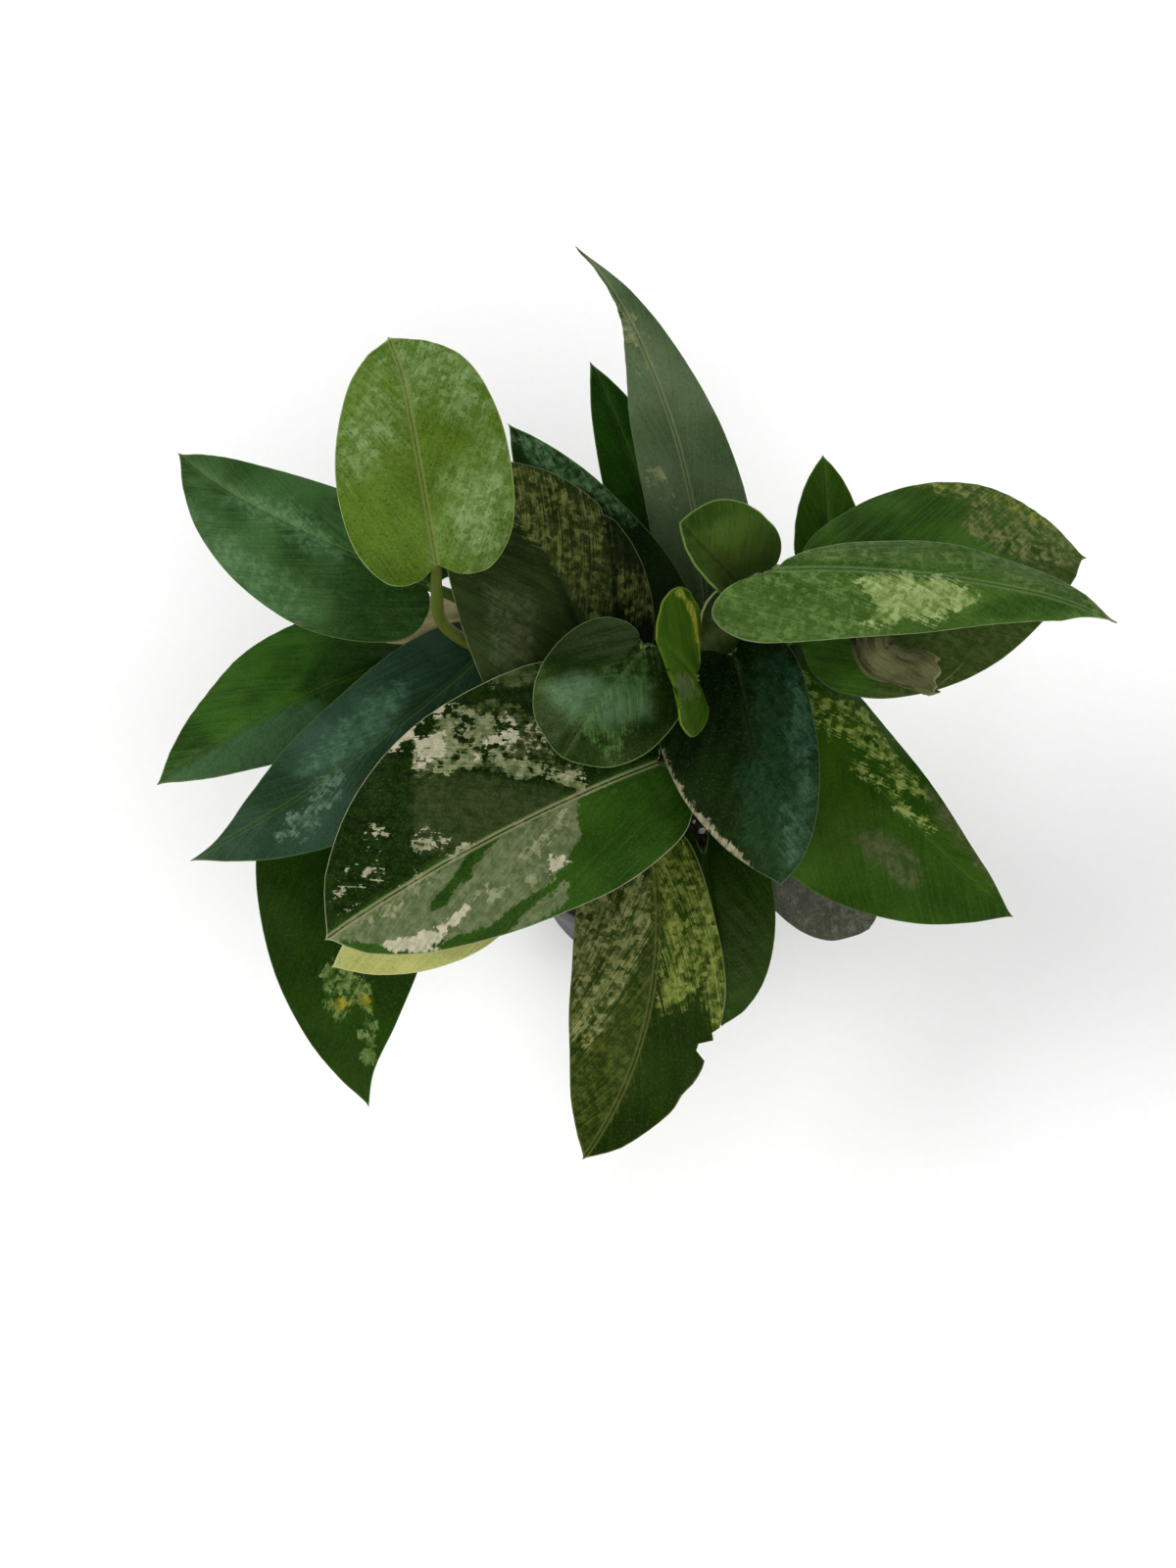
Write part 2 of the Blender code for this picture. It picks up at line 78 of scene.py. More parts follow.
def mix(tree, share, first, second):
    """Goes from the first colour to the second by a share."""
    return node(tree, "Mix", {0: share, 6: first, 7: second}, data_type="RGBA").outputs[2]


def spread(tree, value, low, high, bottom=0.0, top=1.0):
    """Stretches a value so that low gives bottom and high gives top, and no further."""
    sockets = {0: value, 1: low, 2: high, 3: bottom, 4: top}
    return node(tree, "MapRange", sockets, interpolation_type="SMOOTHSTEP").outputs[0]


def sum_of(tree, kind, first, second):
    """A sum, product or other working of two values."""
    return node(tree, "Math", {0: first, 1: second}, operation=kind).outputs[0]


def grain(tree, where, scale, detail=3.0, rough=0.5):
    """Soft random grain, as a value about one half."""
    sockets = {"Vector": where, "Scale": scale, "Detail": detail, "Roughness": rough}
    return node(tree, "TexNoise", sockets).outputs["Fac"]


def relief(tree, height, strength, depth, under=None):
    """A bump of a depth in metres, over another one if it is given."""
    sockets = {"Height": height, "Strength": strength, "Distance": depth}
    if under:
        sockets["Normal"] = under
    return node(tree, "Bump", sockets).outputs["Normal"]


def stretched(tree, where, scale):
    """Places in the object drawn out or squeezed along its axes."""
    return node(tree, "Mapping", {"Vector": where, "Scale": scale}).outputs["Vector"]


def new_finish(name, **values):
    """A material with plain values on its shader, its node tree and its shader."""
    made = bpy.data.materials.new(name)
    made.use_nodes = True
    shader = made.node_tree.nodes["Principled BSDF"]
    for key, value in values.items():
        shader.inputs[key.replace("_", " ").title()].default_value = value
    return made, made.node_tree, shader


def turned(profile, sides):
    """A bmesh turned round the Z axis from a closed profile of (radius, height) points."""
    bm = bmesh.new()
    verts = [bm.verts.new((radius, 0, height)) for radius, height in profile]
    edges = [bm.edges.new(pair) for pair in zip(verts, verts[1:])]
    bmesh.ops.spin(
        bm,
        geom=verts + edges,
        axis=UP,
        cent=(0, 0, 0),
        angle=math.tau,
        steps=sides,
        use_merge=True,
    )
    bmesh.ops.remove_doubles(bm, verts=bm.verts, dist=1e-6)
    bmesh.ops.recalc_face_normals(bm, faces=bm.faces)
    return bm


def piece(name, bm, finish, stands_for=None):
    """Turns a bmesh into a smooth piece that rides on the plant."""
    mesh = bpy.data.meshes.new(name)
    bm.to_mesh(mesh)
    bm.free()
    mesh.materials.append(finish)
    mesh.shade_smooth()
    mesh.set_sharp_from_angle(angle=CREASE)
    made = bpy.data.objects.new(name, mesh)
    bpy.context.scene.collection.objects.link(made)
    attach(made, "root")
    if stands_for:
        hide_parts(stands_for)
    return made


def pot_radius(height):
    """The pot's outer radius at a height, without its rim."""
    slope = (POT_TOP_RADIUS - RIM_STEP - POT_BASE_RADIUS) / POT_HEIGHT
    return POT_BASE_RADIUS + slope * height


rim_low = POT_HEIGHT - RIM_HEIGHT
pot_profile = (
    (0, 0),
    (POT_BASE_RADIUS, 0),
    (pot_radius(rim_low), rim_low),
    (POT_TOP_RADIUS, rim_low),
    (POT_TOP_RADIUS, POT_HEIGHT),
    (pot_radius(POT_HEIGHT) - POT_WALL, POT_HEIGHT),
    (pot_radius(POT_FLOOR) - POT_WALL, POT_FLOOR),
    (0, POT_FLOOR),
)
pot_bm = turned(pot_profile, POT_SIDES)
corners = [edge for edge in pot_bm.edges if edge.calc_face_angle(0) > CREASE]
bmesh.ops.bevel(
    pot_bm,
    geom=corners,
    offset=POT_ROUNDING,
    segments=2,
    profile=0.5,
    affect="EDGES",
    material=-1,
)
drains_bm = bmesh.new()
for i in range(DRAIN_HOLES):
    angle = math.tau * i / DRAIN_HOLES
    place = Vector((math.cos(angle), math.sin(angle), 0)) * DRAIN_RING_RADIUS
    drain = bmesh.ops.create_cone(
        drains_bm,
        cap_ends=True,
        segments=32,
        radius1=DRAIN_RADIUS,
        radius2=DRAIN_RADIUS,
        depth=POT_FLOOR * 4,
    )
    bmesh.ops.translate(drains_bm, verts=drain["verts"], vec=place)

plastic, tree, shader = new_finish("pot_plastic", coat_weight=0.1, coat_roughness=0.4)
where = node(tree, "TexCoord").outputs["Object"]
height = node(tree, "SeparateXYZ", {0: where}).outputs["Z"]
rubs = grain(tree, stretched(tree, where, (30, 30, 240)), 1)
scuffs = spread(tree, rubs, 0.58, 0.72)
crumbs = grain(tree, where, 900, 5, 0.6)
near_rim = spread(tree, height, 55 * MM, POT_HEIGHT)
dusty = sum_of(tree, "MULTIPLY", near_rim, spread(tree, crumbs, 0.5, 0.68))
black = mix(tree, scuffs, (0.012, 0.012, 0.013, 1), (0.030, 0.030, 0.031, 1))
tree.links.new(mix(tree, dusty, black, (0.07, 0.05, 0.033, 1)), shader.inputs["Base Color"])
tree.links.new(spread(tree, rubs, 0.3, 0.7, 0.42, 0.62), shader.inputs["Roughness"])
tree.links.new(relief(tree, crumbs, 0.15, 0.1 * MM), shader.inputs["Normal"])

drains = piece("drains", drains_bm, plastic)
pot = piece("nursery_pot", pot_bm, plastic, "pot")
cutting = pot.modifiers.new("drain_holes", "BOOLEAN")
cutting.operation = "DIFFERENCE"
cutting.solver = "EXACT"
cutting.object = drains
bpy.context.view_layer.update()
cut_pot = pot.evaluated_get(bpy.context.evaluated_depsgraph_get())
pot.data = bpy.data.meshes.new_from_object(cut_pot)
pot.modifiers.clear()
bpy.data.objects.remove(drains)
pot.data.set_sharp_from_angle(angle=CREASE)


# The potting mix
# Dark peat with coir fibre, bark crumbs and white perlite, filled in loose and settled by
# watering, so that it is mounded a little and rough on top.

SOIL_TOP = 70 * MM
SOIL_MOUND = 2.5 * MM
SOIL_GAP = 0.3 * MM
SOIL_SIDES = 120
SOIL_RINGS = 34
SOIL_ROUGHNESS = 1.1 * MM
PERLITE_GRAINS = 70
BARK_GRAINS = 150
GRAIN_SQUASH = 0.8
GRAIN_CHIPPING = (0.8, 1.15)
GRAIN_SEAT = 0.4


def soil_height(x, y):
    """The top of the mix at a place."""
    edge = pot_radius(SOIL_TOP) - POT_WALL
    share = min(1.0, math.hypot(x, y) / edge)
    lumps = noise.fractal(Vector((x, y, 0)) / (6 * MM), 0.8, 2.2, 4)
    return SOIL_TOP + SOIL_MOUND * (1 - share**2) + lumps * SOIL_ROUGHNESS


soil_low = POT_FLOOR + SOIL_GAP
soil_edge = pot_radius(SOIL_TOP) - POT_WALL - SOIL_GAP
soil_profile = [(0, soil_low), (pot_radius(soil_low) - POT_WALL - SOIL_GAP, soil_low)]
soil_profile += [(soil_edge * (1 - i / SOIL_RINGS), SOIL_TOP) for i in range(SOIL_RINGS + 1)]
soil_bm = turned(soil_profile, SOIL_SIDES)
for vert in soil_bm.verts:
    if vert.co.z > SOIL_TOP - MM:
        vert.co.z = soil_height(vert.co.x, vert.co.y)

peat, tree, shader = new_finish("peat", roughness=0.95)
where = node(tree, "TexCoord").outputs["Object"]
clods = grain(tree, where, 260, 8, 0.65)
fibres = grain(tree, stretched(tree, where, (500, 90, 300)), 1, 4)
clod_share = spread(tree, clods, 0.35, 0.7)
brown = mix(tree, clod_share, (0.012, 0.008, 0.005, 1), (0.060, 0.038, 0.022, 1))
straw = mix(tree, spread(tree, fibres, 0.62, 0.72), brown, (0.16, 0.10, 0.055, 1))
tree.links.new(straw, shader.inputs["Base Color"])
tree.links.new(relief(tree, clods, 0.9, 1.2 * MM), shader.inputs["Normal"])
piece("potting_mix", soil_bm, peat, "soil")


def scatter(bm, count, low, high, flat, seed):
    """Drops small broken grains on the mix, each its own closed lump."""
    dice = random.Random(seed)
    for _ in range(count):
        turn = dice.uniform(0, math.tau)
        far = soil_edge * 0.95 * math.sqrt(dice.random())
        x, y = far * math.cos(turn), far * math.sin(turn)
        size = dice.uniform(low, high) * MM
        lump = bmesh.ops.create_icosphere(bm, subdivisions=1, radius=size)["verts"]
        spin = Quaternion((dice.uniform(-1, 1), dice.uniform(-1, 1), 1), dice.uniform(0, math.tau))
        for vert in lump:
            vert.co = spin @ Vector((vert.co.x, vert.co.y * GRAIN_SQUASH, vert.co.z * flat))
            vert.co *= dice.uniform(*GRAIN_CHIPPING)
            vert.co += Vector((x, y, soil_height(x, y) + size * flat * GRAIN_SEAT))


perlite_bm = bmesh.new()
scatter(perlite_bm, PERLITE_GRAINS, 0.7, 1.7, 0.8, 5)
perlite, tree, shader = new_finish("perlite", roughness=0.85)
where = node(tree, "TexCoord").outputs["Object"]
pores = grain(tree, where, 1500, 4)
white = mix(tree, pores, (0.45, 0.42, 0.37, 1), (0.78, 0.76, 0.71, 1))
tree.links.new(white, shader.inputs["Base Color"])
tree.links.new(relief(tree, pores, 0.8, 0.3 * MM), shader.inputs["Normal"])
piece("perlite_grains", perlite_bm, perlite)

bark_bm = bmesh.new()
scatter(bark_bm, BARK_GRAINS, 0.9, 2.6, 0.45, 9)
bark, tree, shader = new_finish("bark", roughness=0.9)
where = node(tree, "TexCoord").outputs["Object"]
flakes = grain(tree, where, 700, 5, 0.6)
russet = mix(tree, flakes, (0.020, 0.012, 0.007, 1), (0.110, 0.065, 0.035, 1))
tree.links.new(russet, shader.inputs["Base Color"])
tree.links.new(relief(tree, flakes, 0.8, 0.4 * MM), shader.inputs["Normal"])
piece("bark_crumbs", bark_bm, bark)


# The vines
# Five young green vines, rooted as cuttings in one pot. Each is a juicy round stem with a
# swollen ring where a leaf is joined to it, and brown pegs of air roots below the rings.

STEM_RADIUS = 2.6 * MM
NODE_RADIUS = 3.1 * MM
STEM_TIP_RADIUS = 1.4 * MM
STEM_IN_MIX = 6 * MM
STEM_SIDES = 20
RING_SHAPE = ((-2.5, STEM_RADIUS), (-0.9, NODE_RADIUS * 0.97), (0.0, NODE_RADIUS))
RING_BLUR = 1.6
PEG_RADIUS = 0.6 * MM
PEG_LENGTH = 0.91 * MM
PEG_FOOT = STEM_RADIUS * 0.8
PEG_DROP = 1.4
PEG_TILT = -0.15
PEGS_PER_RING = 3
CLEARANCE = 0.3 * MM
HALVINGS = 30
GLANCE = 0.05
DOME_HEIGHT = 0.5
SHOULDER_HEIGHT = 0.35
SHOULDER_RADIUS = 0.7
VINES = {
    "left": ((-17, 7, 70), (-21, 9, 94), (-28, 13, 120)),
    "front_left": ((-14, -13, 70), (-18, -16, 90), (-25, -21, 112)),
    "front": ((4, -17, 70), (5, -19, 92), (6, -23, 116)),
    "right": ((20, 0, 70), (23, 1, 94), (28, 3, 120)),
    "back": ((3, 17, 70), (4, 20, 94), (7, 24, 120)),
}
RING_HEIGHTS = {
    "left": (84, 92, 101, 109, 117),
    "front_left": (84, 98, 108),
    "front": (82, 92, 105, 110),
    "right": (84, 96, 103, 109, 113, 117),
    "back": (88, 96, 103, 110, 117),
}


def metres(point):
    """A point given in millimetres, as a vector in metres."""
    return Vector(point) * MM


def through(stops, share):
    """The point at a share of the smooth curve that passes through the stops."""
    at = share * (len(stops) - 1)
    i = min(int(at), len(stops) - 2)
    t = at - i
    b = Vector(stops[i])
    c = Vector(stops[i + 1])
    a = Vector(stops[i - 1]) if i else b * 2 - c
    d = Vector(stops[i + 2]) if i + 2 < len(stops) else c * 2 - b
    flat = b * 2 + (c - a) * t
    curved = (a * 2 - b * 5 + c * 4 - d) * t**2 + (b * 3 - a - c * 3 + d) * t**3
    return (flat + curved) / 2


def vine_at(vine, height):
    """The vine's axis and its direction at a height in millimetres."""
    stops = [metres(point) for point in VINES[vine]]
    low = 0.0
    high = 1.0
    for _ in range(HALVINGS):
        middle = (low + high) / 2
        if through(stops, middle).z < height * MM:
            low = middle
        else:
            high = middle
    ahead = through(stops, min(1.0, low + GLANCE)) - through(stops, max(0.0, low - GLANCE))
    return through(stops, low), ahead.normalized()


def rod(bm, stops, radii, sides):
    """A round rod with domed ends along the stops, with a radius at each. Returns its points."""
    first = (stops[0] - stops[1]).normalized()
    last = (stops[-1] - stops[-2]).normalized()
    stops = [
        stops[0] + first * radii[0] * DOME_HEIGHT,
        stops[0] + first * radii[0] * SHOULDER_HEIGHT,
        *stops,
        stops[-1] + last * radii[-1] * SHOULDER_HEIGHT,
        stops[-1] + last * radii[-1] * DOME_HEIGHT,
    ]
    radii = [0, radii[0] * SHOULDER_RADIUS, *radii, radii[-1] * SHOULDER_RADIUS, 0]
    count = len(stops) - 1
    made = bmesh.ops.create_grid(bm, x_segments=sides, y_segments=count, size=1)["verts"]
    heading = (stops[1] - stops[0]).normalized()
    normal = heading.orthogonal().normalized()
    rings = []
    for i, stop in enumerate(stops):
        ahead = (stops[min(i + 1, count)] - stops[max(i - 1, 0)]).normalized()
        normal = heading.rotation_difference(ahead) @ normal
        heading = ahead
        rings.append((stop, normal, heading.cross(normal), radii[i]))
    for vert in made:
        angle = math.tau * round((vert.co.x + 1) / 2 * sides) / sides
        stop, normal, other, radius = rings[round((vert.co.y + 1) / 2 * count)]
        vert.co = stop + (normal * math.cos(angle) + other * math.sin(angle)) * radius
    before = set(bm.verts) - set(made)
    bmesh.ops.remove_doubles(bm, verts=made, dist=1e-7)
    made = [vert for vert in bm.verts if vert not in before]
    faces = {face for vert in made for face in vert.link_faces}
    bmesh.ops.recalc_face_normals(bm, faces=list(faces))
    return made


stem_skin, tree, shader = new_finish("vine_skin", roughness=0.42)
where = node(tree, "TexCoord").outputs["Object"]
ringed = node(tree, "Attribute", attribute_name="ring").outputs["Fac"]
lines = grain(tree, stretched(tree, where, (900, 900, 60)), 1, 3)
freckles = grain(tree, where, 600, 4)
juicy = mix(tree, lines, (0.075, 0.13, 0.025, 1), (0.15, 0.22, 0.055, 1))
brownish = mix(tree, freckles, (0.10, 0.085, 0.03, 1), (0.22, 0.17, 0.085, 1))
ring_share = spread(tree, sum_of(tree, "ADD", ringed, freckles), 0.8, 1.25)
tree.links.new(mix(tree, ring_share, juicy, brownish), shader.inputs["Base Color"])
tree.links.new(relief(tree, lines, 0.35, 0.25 * MM), shader.inputs["Normal"])

for vine, stops in VINES.items():
    vine_bm = bmesh.new()
    ring = vine_bm.verts.layers.float.new("ring")
    axis = [metres(stops[0]) - UP * STEM_IN_MIX, metres(stops[0])]
    thick = [STEM_RADIUS, STEM_RADIUS]
    for height in RING_HEIGHTS[vine]:
        for offset, radius in RING_SHAPE:
            axis.append(vine_at(vine, height + offset)[0])
            thick.append(radius)
    axis.append(metres(stops[2]))
    thick.append(STEM_TIP_RADIUS)
    for vert in rod(vine_bm, axis, thick, STEM_SIDES):
        away = min(abs(vert.co.z / MM - height) for height in RING_HEIGHTS[vine])
        vert[ring] = max(0.0, 1 - away / RING_BLUR)
    dice = random.Random(len(vine))
    for height in RING_HEIGHTS[vine]:
        for _ in range(PEGS_PER_RING):
            middle = vine_at(vine, height - PEG_DROP)[0]
            turn = dice.uniform(0, math.tau)
            out = Vector((math.cos(turn), math.sin(turn), PEG_TILT)).normalized()
            peg = [middle + out * PEG_FOOT, middle + out * (STEM_RADIUS + PEG_LENGTH)]
            for vert in rod(vine_bm, peg, [PEG_RADIUS, PEG_RADIUS * 0.5], 8):
                vert[ring] = 1
    piece("vine_" + vine, vine_bm, stem_skin, "stem_" + vine)


# The young round leaf
# The newest leaf of the left vine, held high on its own stalk: a thin blade, bright yellow-green
# while it is young, cupped down at its margins, with paler clouds on both its halves that are
# partly real mottling and partly painted highlight.

BLADE_THICKNESS = 0.55 * MM
STALK_STEPS = 26
STALK_SIDES = 16
COLLAR = 2.5 * MM
NECK_SHARE = 0.62
NECK_DROP = 1.5 * MM
KEEL_RADIUS = 0.9 * MM
KEEL_TAPER = 0.75
KEEL_DROP = 0.15 * MM
KEEL_STEPS = 20
HOOK_START = 0.7
DRIP_SHARE = 0.13
GROOVE_DEPTH = 0.42
GROOVE_WIDTH = 0.95
CREST_HEIGHT = 0.16
CREST_PLACE = 2.3
CREST_WIDTH = 1.3
SWELL_HEIGHT = 0.11
VEIN_SLANT = 0.50
VEIN_BOW = 0.18
VEIN_SPACING = 8.5
VEIN_WANDER = (25, 5)
BROAD_DENTS = (19, 0.80)
SMALL_DENTS = (7, 0.20)
FRILL_SPACING = 9
RIB_CROWDING = 1.2
FEATHER = 3.0
RIBS = (0.00, 0.01, 0.05, 0.14, 0.31, 0.51, 0.72, 0.88, 1.00)
OVAL = (
    (0.00, 0.00), (0.26, -0.06), (0.60, -0.05), (0.90, 0.10), (1.00, 0.36),
    (0.95, 0.62), (0.72, 0.85), (0.34, 0.96), (0.00, 1.00),
)
PEAR = (
    (0.00, 0.00), (0.26, -0.06), (0.60, -0.05), (0.90, 0.10), (1.00, 0.33),
    (0.92, 0.56), (0.65, 0.80), (0.27, 0.94), (0.00, 1.00),
)


class Blade:
    """The surface of one leaf blade, bent and folded in space. Lengths are in millimetres."""

    def __init__(
        self, base, tip, width, outlines, bend=0, roll=0, fold=0, curl=(0, 0), skew=0,
        sweep=0, hook=0, wave=(0, 1, 0), crumple=0, seed=0, drip=0.4, bites=(),
    ):
        self.base = metres(base)
        chord = metres(tip) - self.base
        self.along = chord.normalized()
        face = (UP - self.along * UP.dot(self.along)).normalized()
        self.face = Quaternion(self.along, math.radians(roll)) @ face
        self.bend = math.radians(bend) or 1e-4
        self.length = chord.length * (self.bend / 2) / math.sin(self.bend / 2)
        self.outlines = outlines
        self.halves = (width / 2 * (1 - skew), width / 2 * (1 + skew))
        self.fold = math.radians(fold)
        self.curl = [math.radians(turn) or 1e-4 for turn in curl]
        self.sweep, self.hook, self.wave = sweep, hook, wave
        self.crumple = crumple
        self.seed = seed
        self.drip = drip
        self.bites = bites

    def midrib(self, y):
        """Place, heading, right side and face of the midrib at a share of its length."""
        half = self.bend / 2
        angle = half - self.bend * y
        run = (math.sin(half) - math.sin(angle)) / self.bend
        rise = (math.cos(angle) - math.cos(half)) / self.bend
        heading = self.along * math.cos(angle) + self.face * math.sin(angle)
        face = self.face * math.cos(angle) - self.along * math.sin(angle)
        side = heading.cross(face)
        end = max(0.0, y - HOOK_START) / (1 - HOOK_START)
        aside = self.sweep * 4 * y * (1 - y) + self.hook * end**2
        place = self.base + (self.along * run + self.face * rise) * self.length
        return place + side * aside * MM, heading, side, face

    def point(self, x, y):
        """The surface at x half widths across, right positive, and y lengths along."""
        place, _, side, face = self.midrib(y)
        half = self.halves[x > 0]
        curl = self.curl[x > 0]
        lift = self.fold + curl * abs(x)
        out = half / curl * (math.sin(lift) - math.sin(self.fold))
        up = half / curl * (math.cos(self.fold) - math.cos(lift))
        size, count, start = self.wave
        up += size * x**2 * math.sin(math.tau * (count * y + start + (0.5 if x > 0 else 0)))
        up += self.detail(x, y, half)
        return place + (side * math.copysign(out, x) + face * up) * MM

    def reach(self, x, across, rib):
        """How far the margin lies out: drawn in to a drip tip, and bitten where it was torn."""
        across *= min(1.0, (1 - rib) / DRIP_SHARE) ** self.drip
        for side, place, depth, width in self.bites:
            if side * x > 0:
                across *= 1 - depth * math.exp(-(((rib - place) / width) ** 2))
        return across

    def detail(self, x, y, half):
        """The channel over the midrib, the low swell between side veins, and small dents."""
        away = abs(x) * half
        taper = max(0.0, 1 - y) ** 0.4 * min(1.0, max(0.0, y + 0.02) * 14)
        channel = -GROOVE_DEPTH * math.exp(-((away / GROOVE_WIDTH) ** 2)) * taper
        crest = CREST_HEIGHT * math.exp(-(((away - CREST_PLACE) / CREST_WIDTH) ** 2)) * taper
        spot = Vector((x * half, y * self.length / MM, self.seed * 40))
        size, depth = VEIN_WANDER
        turn = (self.vein(x, y) + depth * noise.noise(spot / size)) * math.tau / VEIN_SPACING
        swell = SWELL_HEIGHT * math.sin(turn) * min(1.0, away / 6)
        dents = sum(depth * noise.noise(spot / size) for size, depth in (BROAD_DENTS, SMALL_DENTS))
        frill = self.crumple * x**2 * noise.noise(spot / FRILL_SPACING)
        return channel + crest + swell + dents + frill

    def vein(self, x, y):
        """How far along the midrib the side vein through a place starts, in millimetres."""
        x = abs(x)
        return self.length / MM * (y - VEIN_SLANT * x - VEIN_BOW * x**2)


def margin_distance(shape, x, y):
    """Distance of many places from the edge of a closed shape, positive inside."""
    corners = np.array(shape, float)
    ends = np.roll(corners, -1, axis=0)
    nearest = np.full(x.shape, 1e9)
    inside = np.zeros(x.shape, bool)
    for (ax, ay), (bx, by) in zip(corners, ends):
        dx, dy = bx - ax, by - ay
        share = np.clip(((x - ax) * dx + (y - ay) * dy) / max(dx * dx + dy * dy, 1e-9), 0, 1)
        nearest = np.minimum(nearest, np.hypot(x - ax - share * dx, y - ay - share * dy))
        if ay != by:
            crosses = (ay > y) != (by > y)
            inside ^= crosses & (x < dx * (y - ay) / dy + ax)
    return np.where(inside, nearest, -nearest)


def mark_strength(blade, shapes, x, y, feather):
    """How strongly some shapes mark many places: one half at an edge, one well inside."""
    half = np.where(x > 0, blade.halves[1], blade.halves[0])
    length = blade.length / MM
    best = np.full(x.shape, -1e9)
    for shape in shapes:
        if len(shape) == 3 and not isinstance(shape[0], tuple):
            sx, sy, radius = shape
            scale = blade.halves[sx > 0]
            far = radius - np.hypot(x * half - sx * scale, (y - sy) * length)
        else:
            sized = [(px * blade.halves[px > 0], py * length) for px, py in shape]
            far = margin_distance(sized, x * half, y * length)
        best = np.maximum(best, far)
    return np.clip(0.5 + best / (2 * feather), 0, 1)


def thicken(bm, thickness, under):
    """Makes an open sheet into a closed one of a thickness, and marks its new lower side."""
    bm.normal_update()
    shell = bmesh.ops.extrude_face_region(bm, geom=list(bm.faces))["geom"]
    for vert in (item for item in shell if isinstance(item, bmesh.types.BMVert)):
        vert.co -= vert.normal * thickness
        vert[under] = 1
    bmesh.ops.recalc_face_normals(bm, faces=bm.faces)


def stalk_path(vine, height, led):
    """The middle line of a stalk: square out of the vine's ring, then through the led points."""
    axis, rise = vine_at(vine, height)
    out = led[0] - axis
    out = (out - rise * out.dot(rise)).normalized()
    start = axis + out * (NODE_RADIUS + CLEARANCE)
    stops = [start + out * COLLAR, *led]
    return [start] + [through(stops, i / STALK_STEPS) for i in range(STALK_STEPS + 1)]


def grow_leaf(
    name, stands_for, blade, vine, height, led, finish, stalk=2.2, marks=None,
    columns=40, rows=64, feather=FEATHER,
):
    """One leaf: a thin blade, and its stalk, which runs on under the blade as the midrib."""
    marks = marks or {}
    bm = bmesh.new()
    keys = ("side", "vein", "edge", "under", "stalk", *marks)
    layers = {key: bm.verts.layers.float.new(key) for key in keys}
    grid = bmesh.ops.create_grid(bm, x_segments=columns, y_segments=rows, size=1)["verts"]
    spots = []
    for vert in grid:
        reach = math.copysign(abs(vert.co.x) ** RIB_CROWDING, vert.co.x)
        outline = blade.outlines[reach > 0]
        lanes = [(*row, rib) for row, rib in zip(outline, RIBS)]
        across, along, rib = through(lanes, (vert.co.y + 1) / 2)
        across = blade.reach(reach, across, rib)
        x = across * reach
        y = rib + (along - rib) * abs(reach)
        half = blade.halves[reach > 0]
        vert.co = blade.point(x, y)
        vert[layers["side"]] = x * half
        vert[layers["vein"]] = blade.vein(x, y)
        vert[layers["edge"]] = (1 - abs(reach)) * across * half
        spots.append((x, y))
    places = np.array(spots)
    for key, shapes in marks.items():
        strengths = mark_strength(blade, shapes, places[:, 0], places[:, 1], feather)
        for vert, strength in zip(grid, strengths):
            vert[layers[key]] = float(strength)
    bmesh.ops.remove_doubles(bm, verts=bm.verts, dist=1e-6)
    thicken(bm, BLADE_THICKNESS, layers["under"])
    base, _, _, face = blade.midrib(0)
    led = [metres(point) for point in led]
    path = stalk_path(vine, height, [*led, base - face * NECK_DROP])
    taper = (1 - NECK_SHARE) / (len(path) - 1)
    radii = [stalk * MM * (1 - taper * i) for i in range(len(path))]
    for i in range(1, KEEL_STEPS):
        share = i / (KEEL_STEPS + 1)
        radius = KEEL_RADIUS * (1 - KEEL_TAPER * share)
        path.append(blade.point(0, share) - blade.midrib(share)[3] * (radius + KEEL_DROP))
        radii.append(radius)
    for vert in rod(bm, path, radii, STALK_SIDES):
        vert[layers["stalk"]] = 1
    return piece(name, bm, finish, stands_for)


def paint(red, green, blue):
    """A colour from its red, green and blue on a screen, each up to 255."""
    parts = [part / 255 for part in (red, green, blue)]
    parts = [((part + 0.055) / 1.055) ** 2.4 if part > 0.04 else part / 12.92 for part in parts]
    return (*parts, 1)


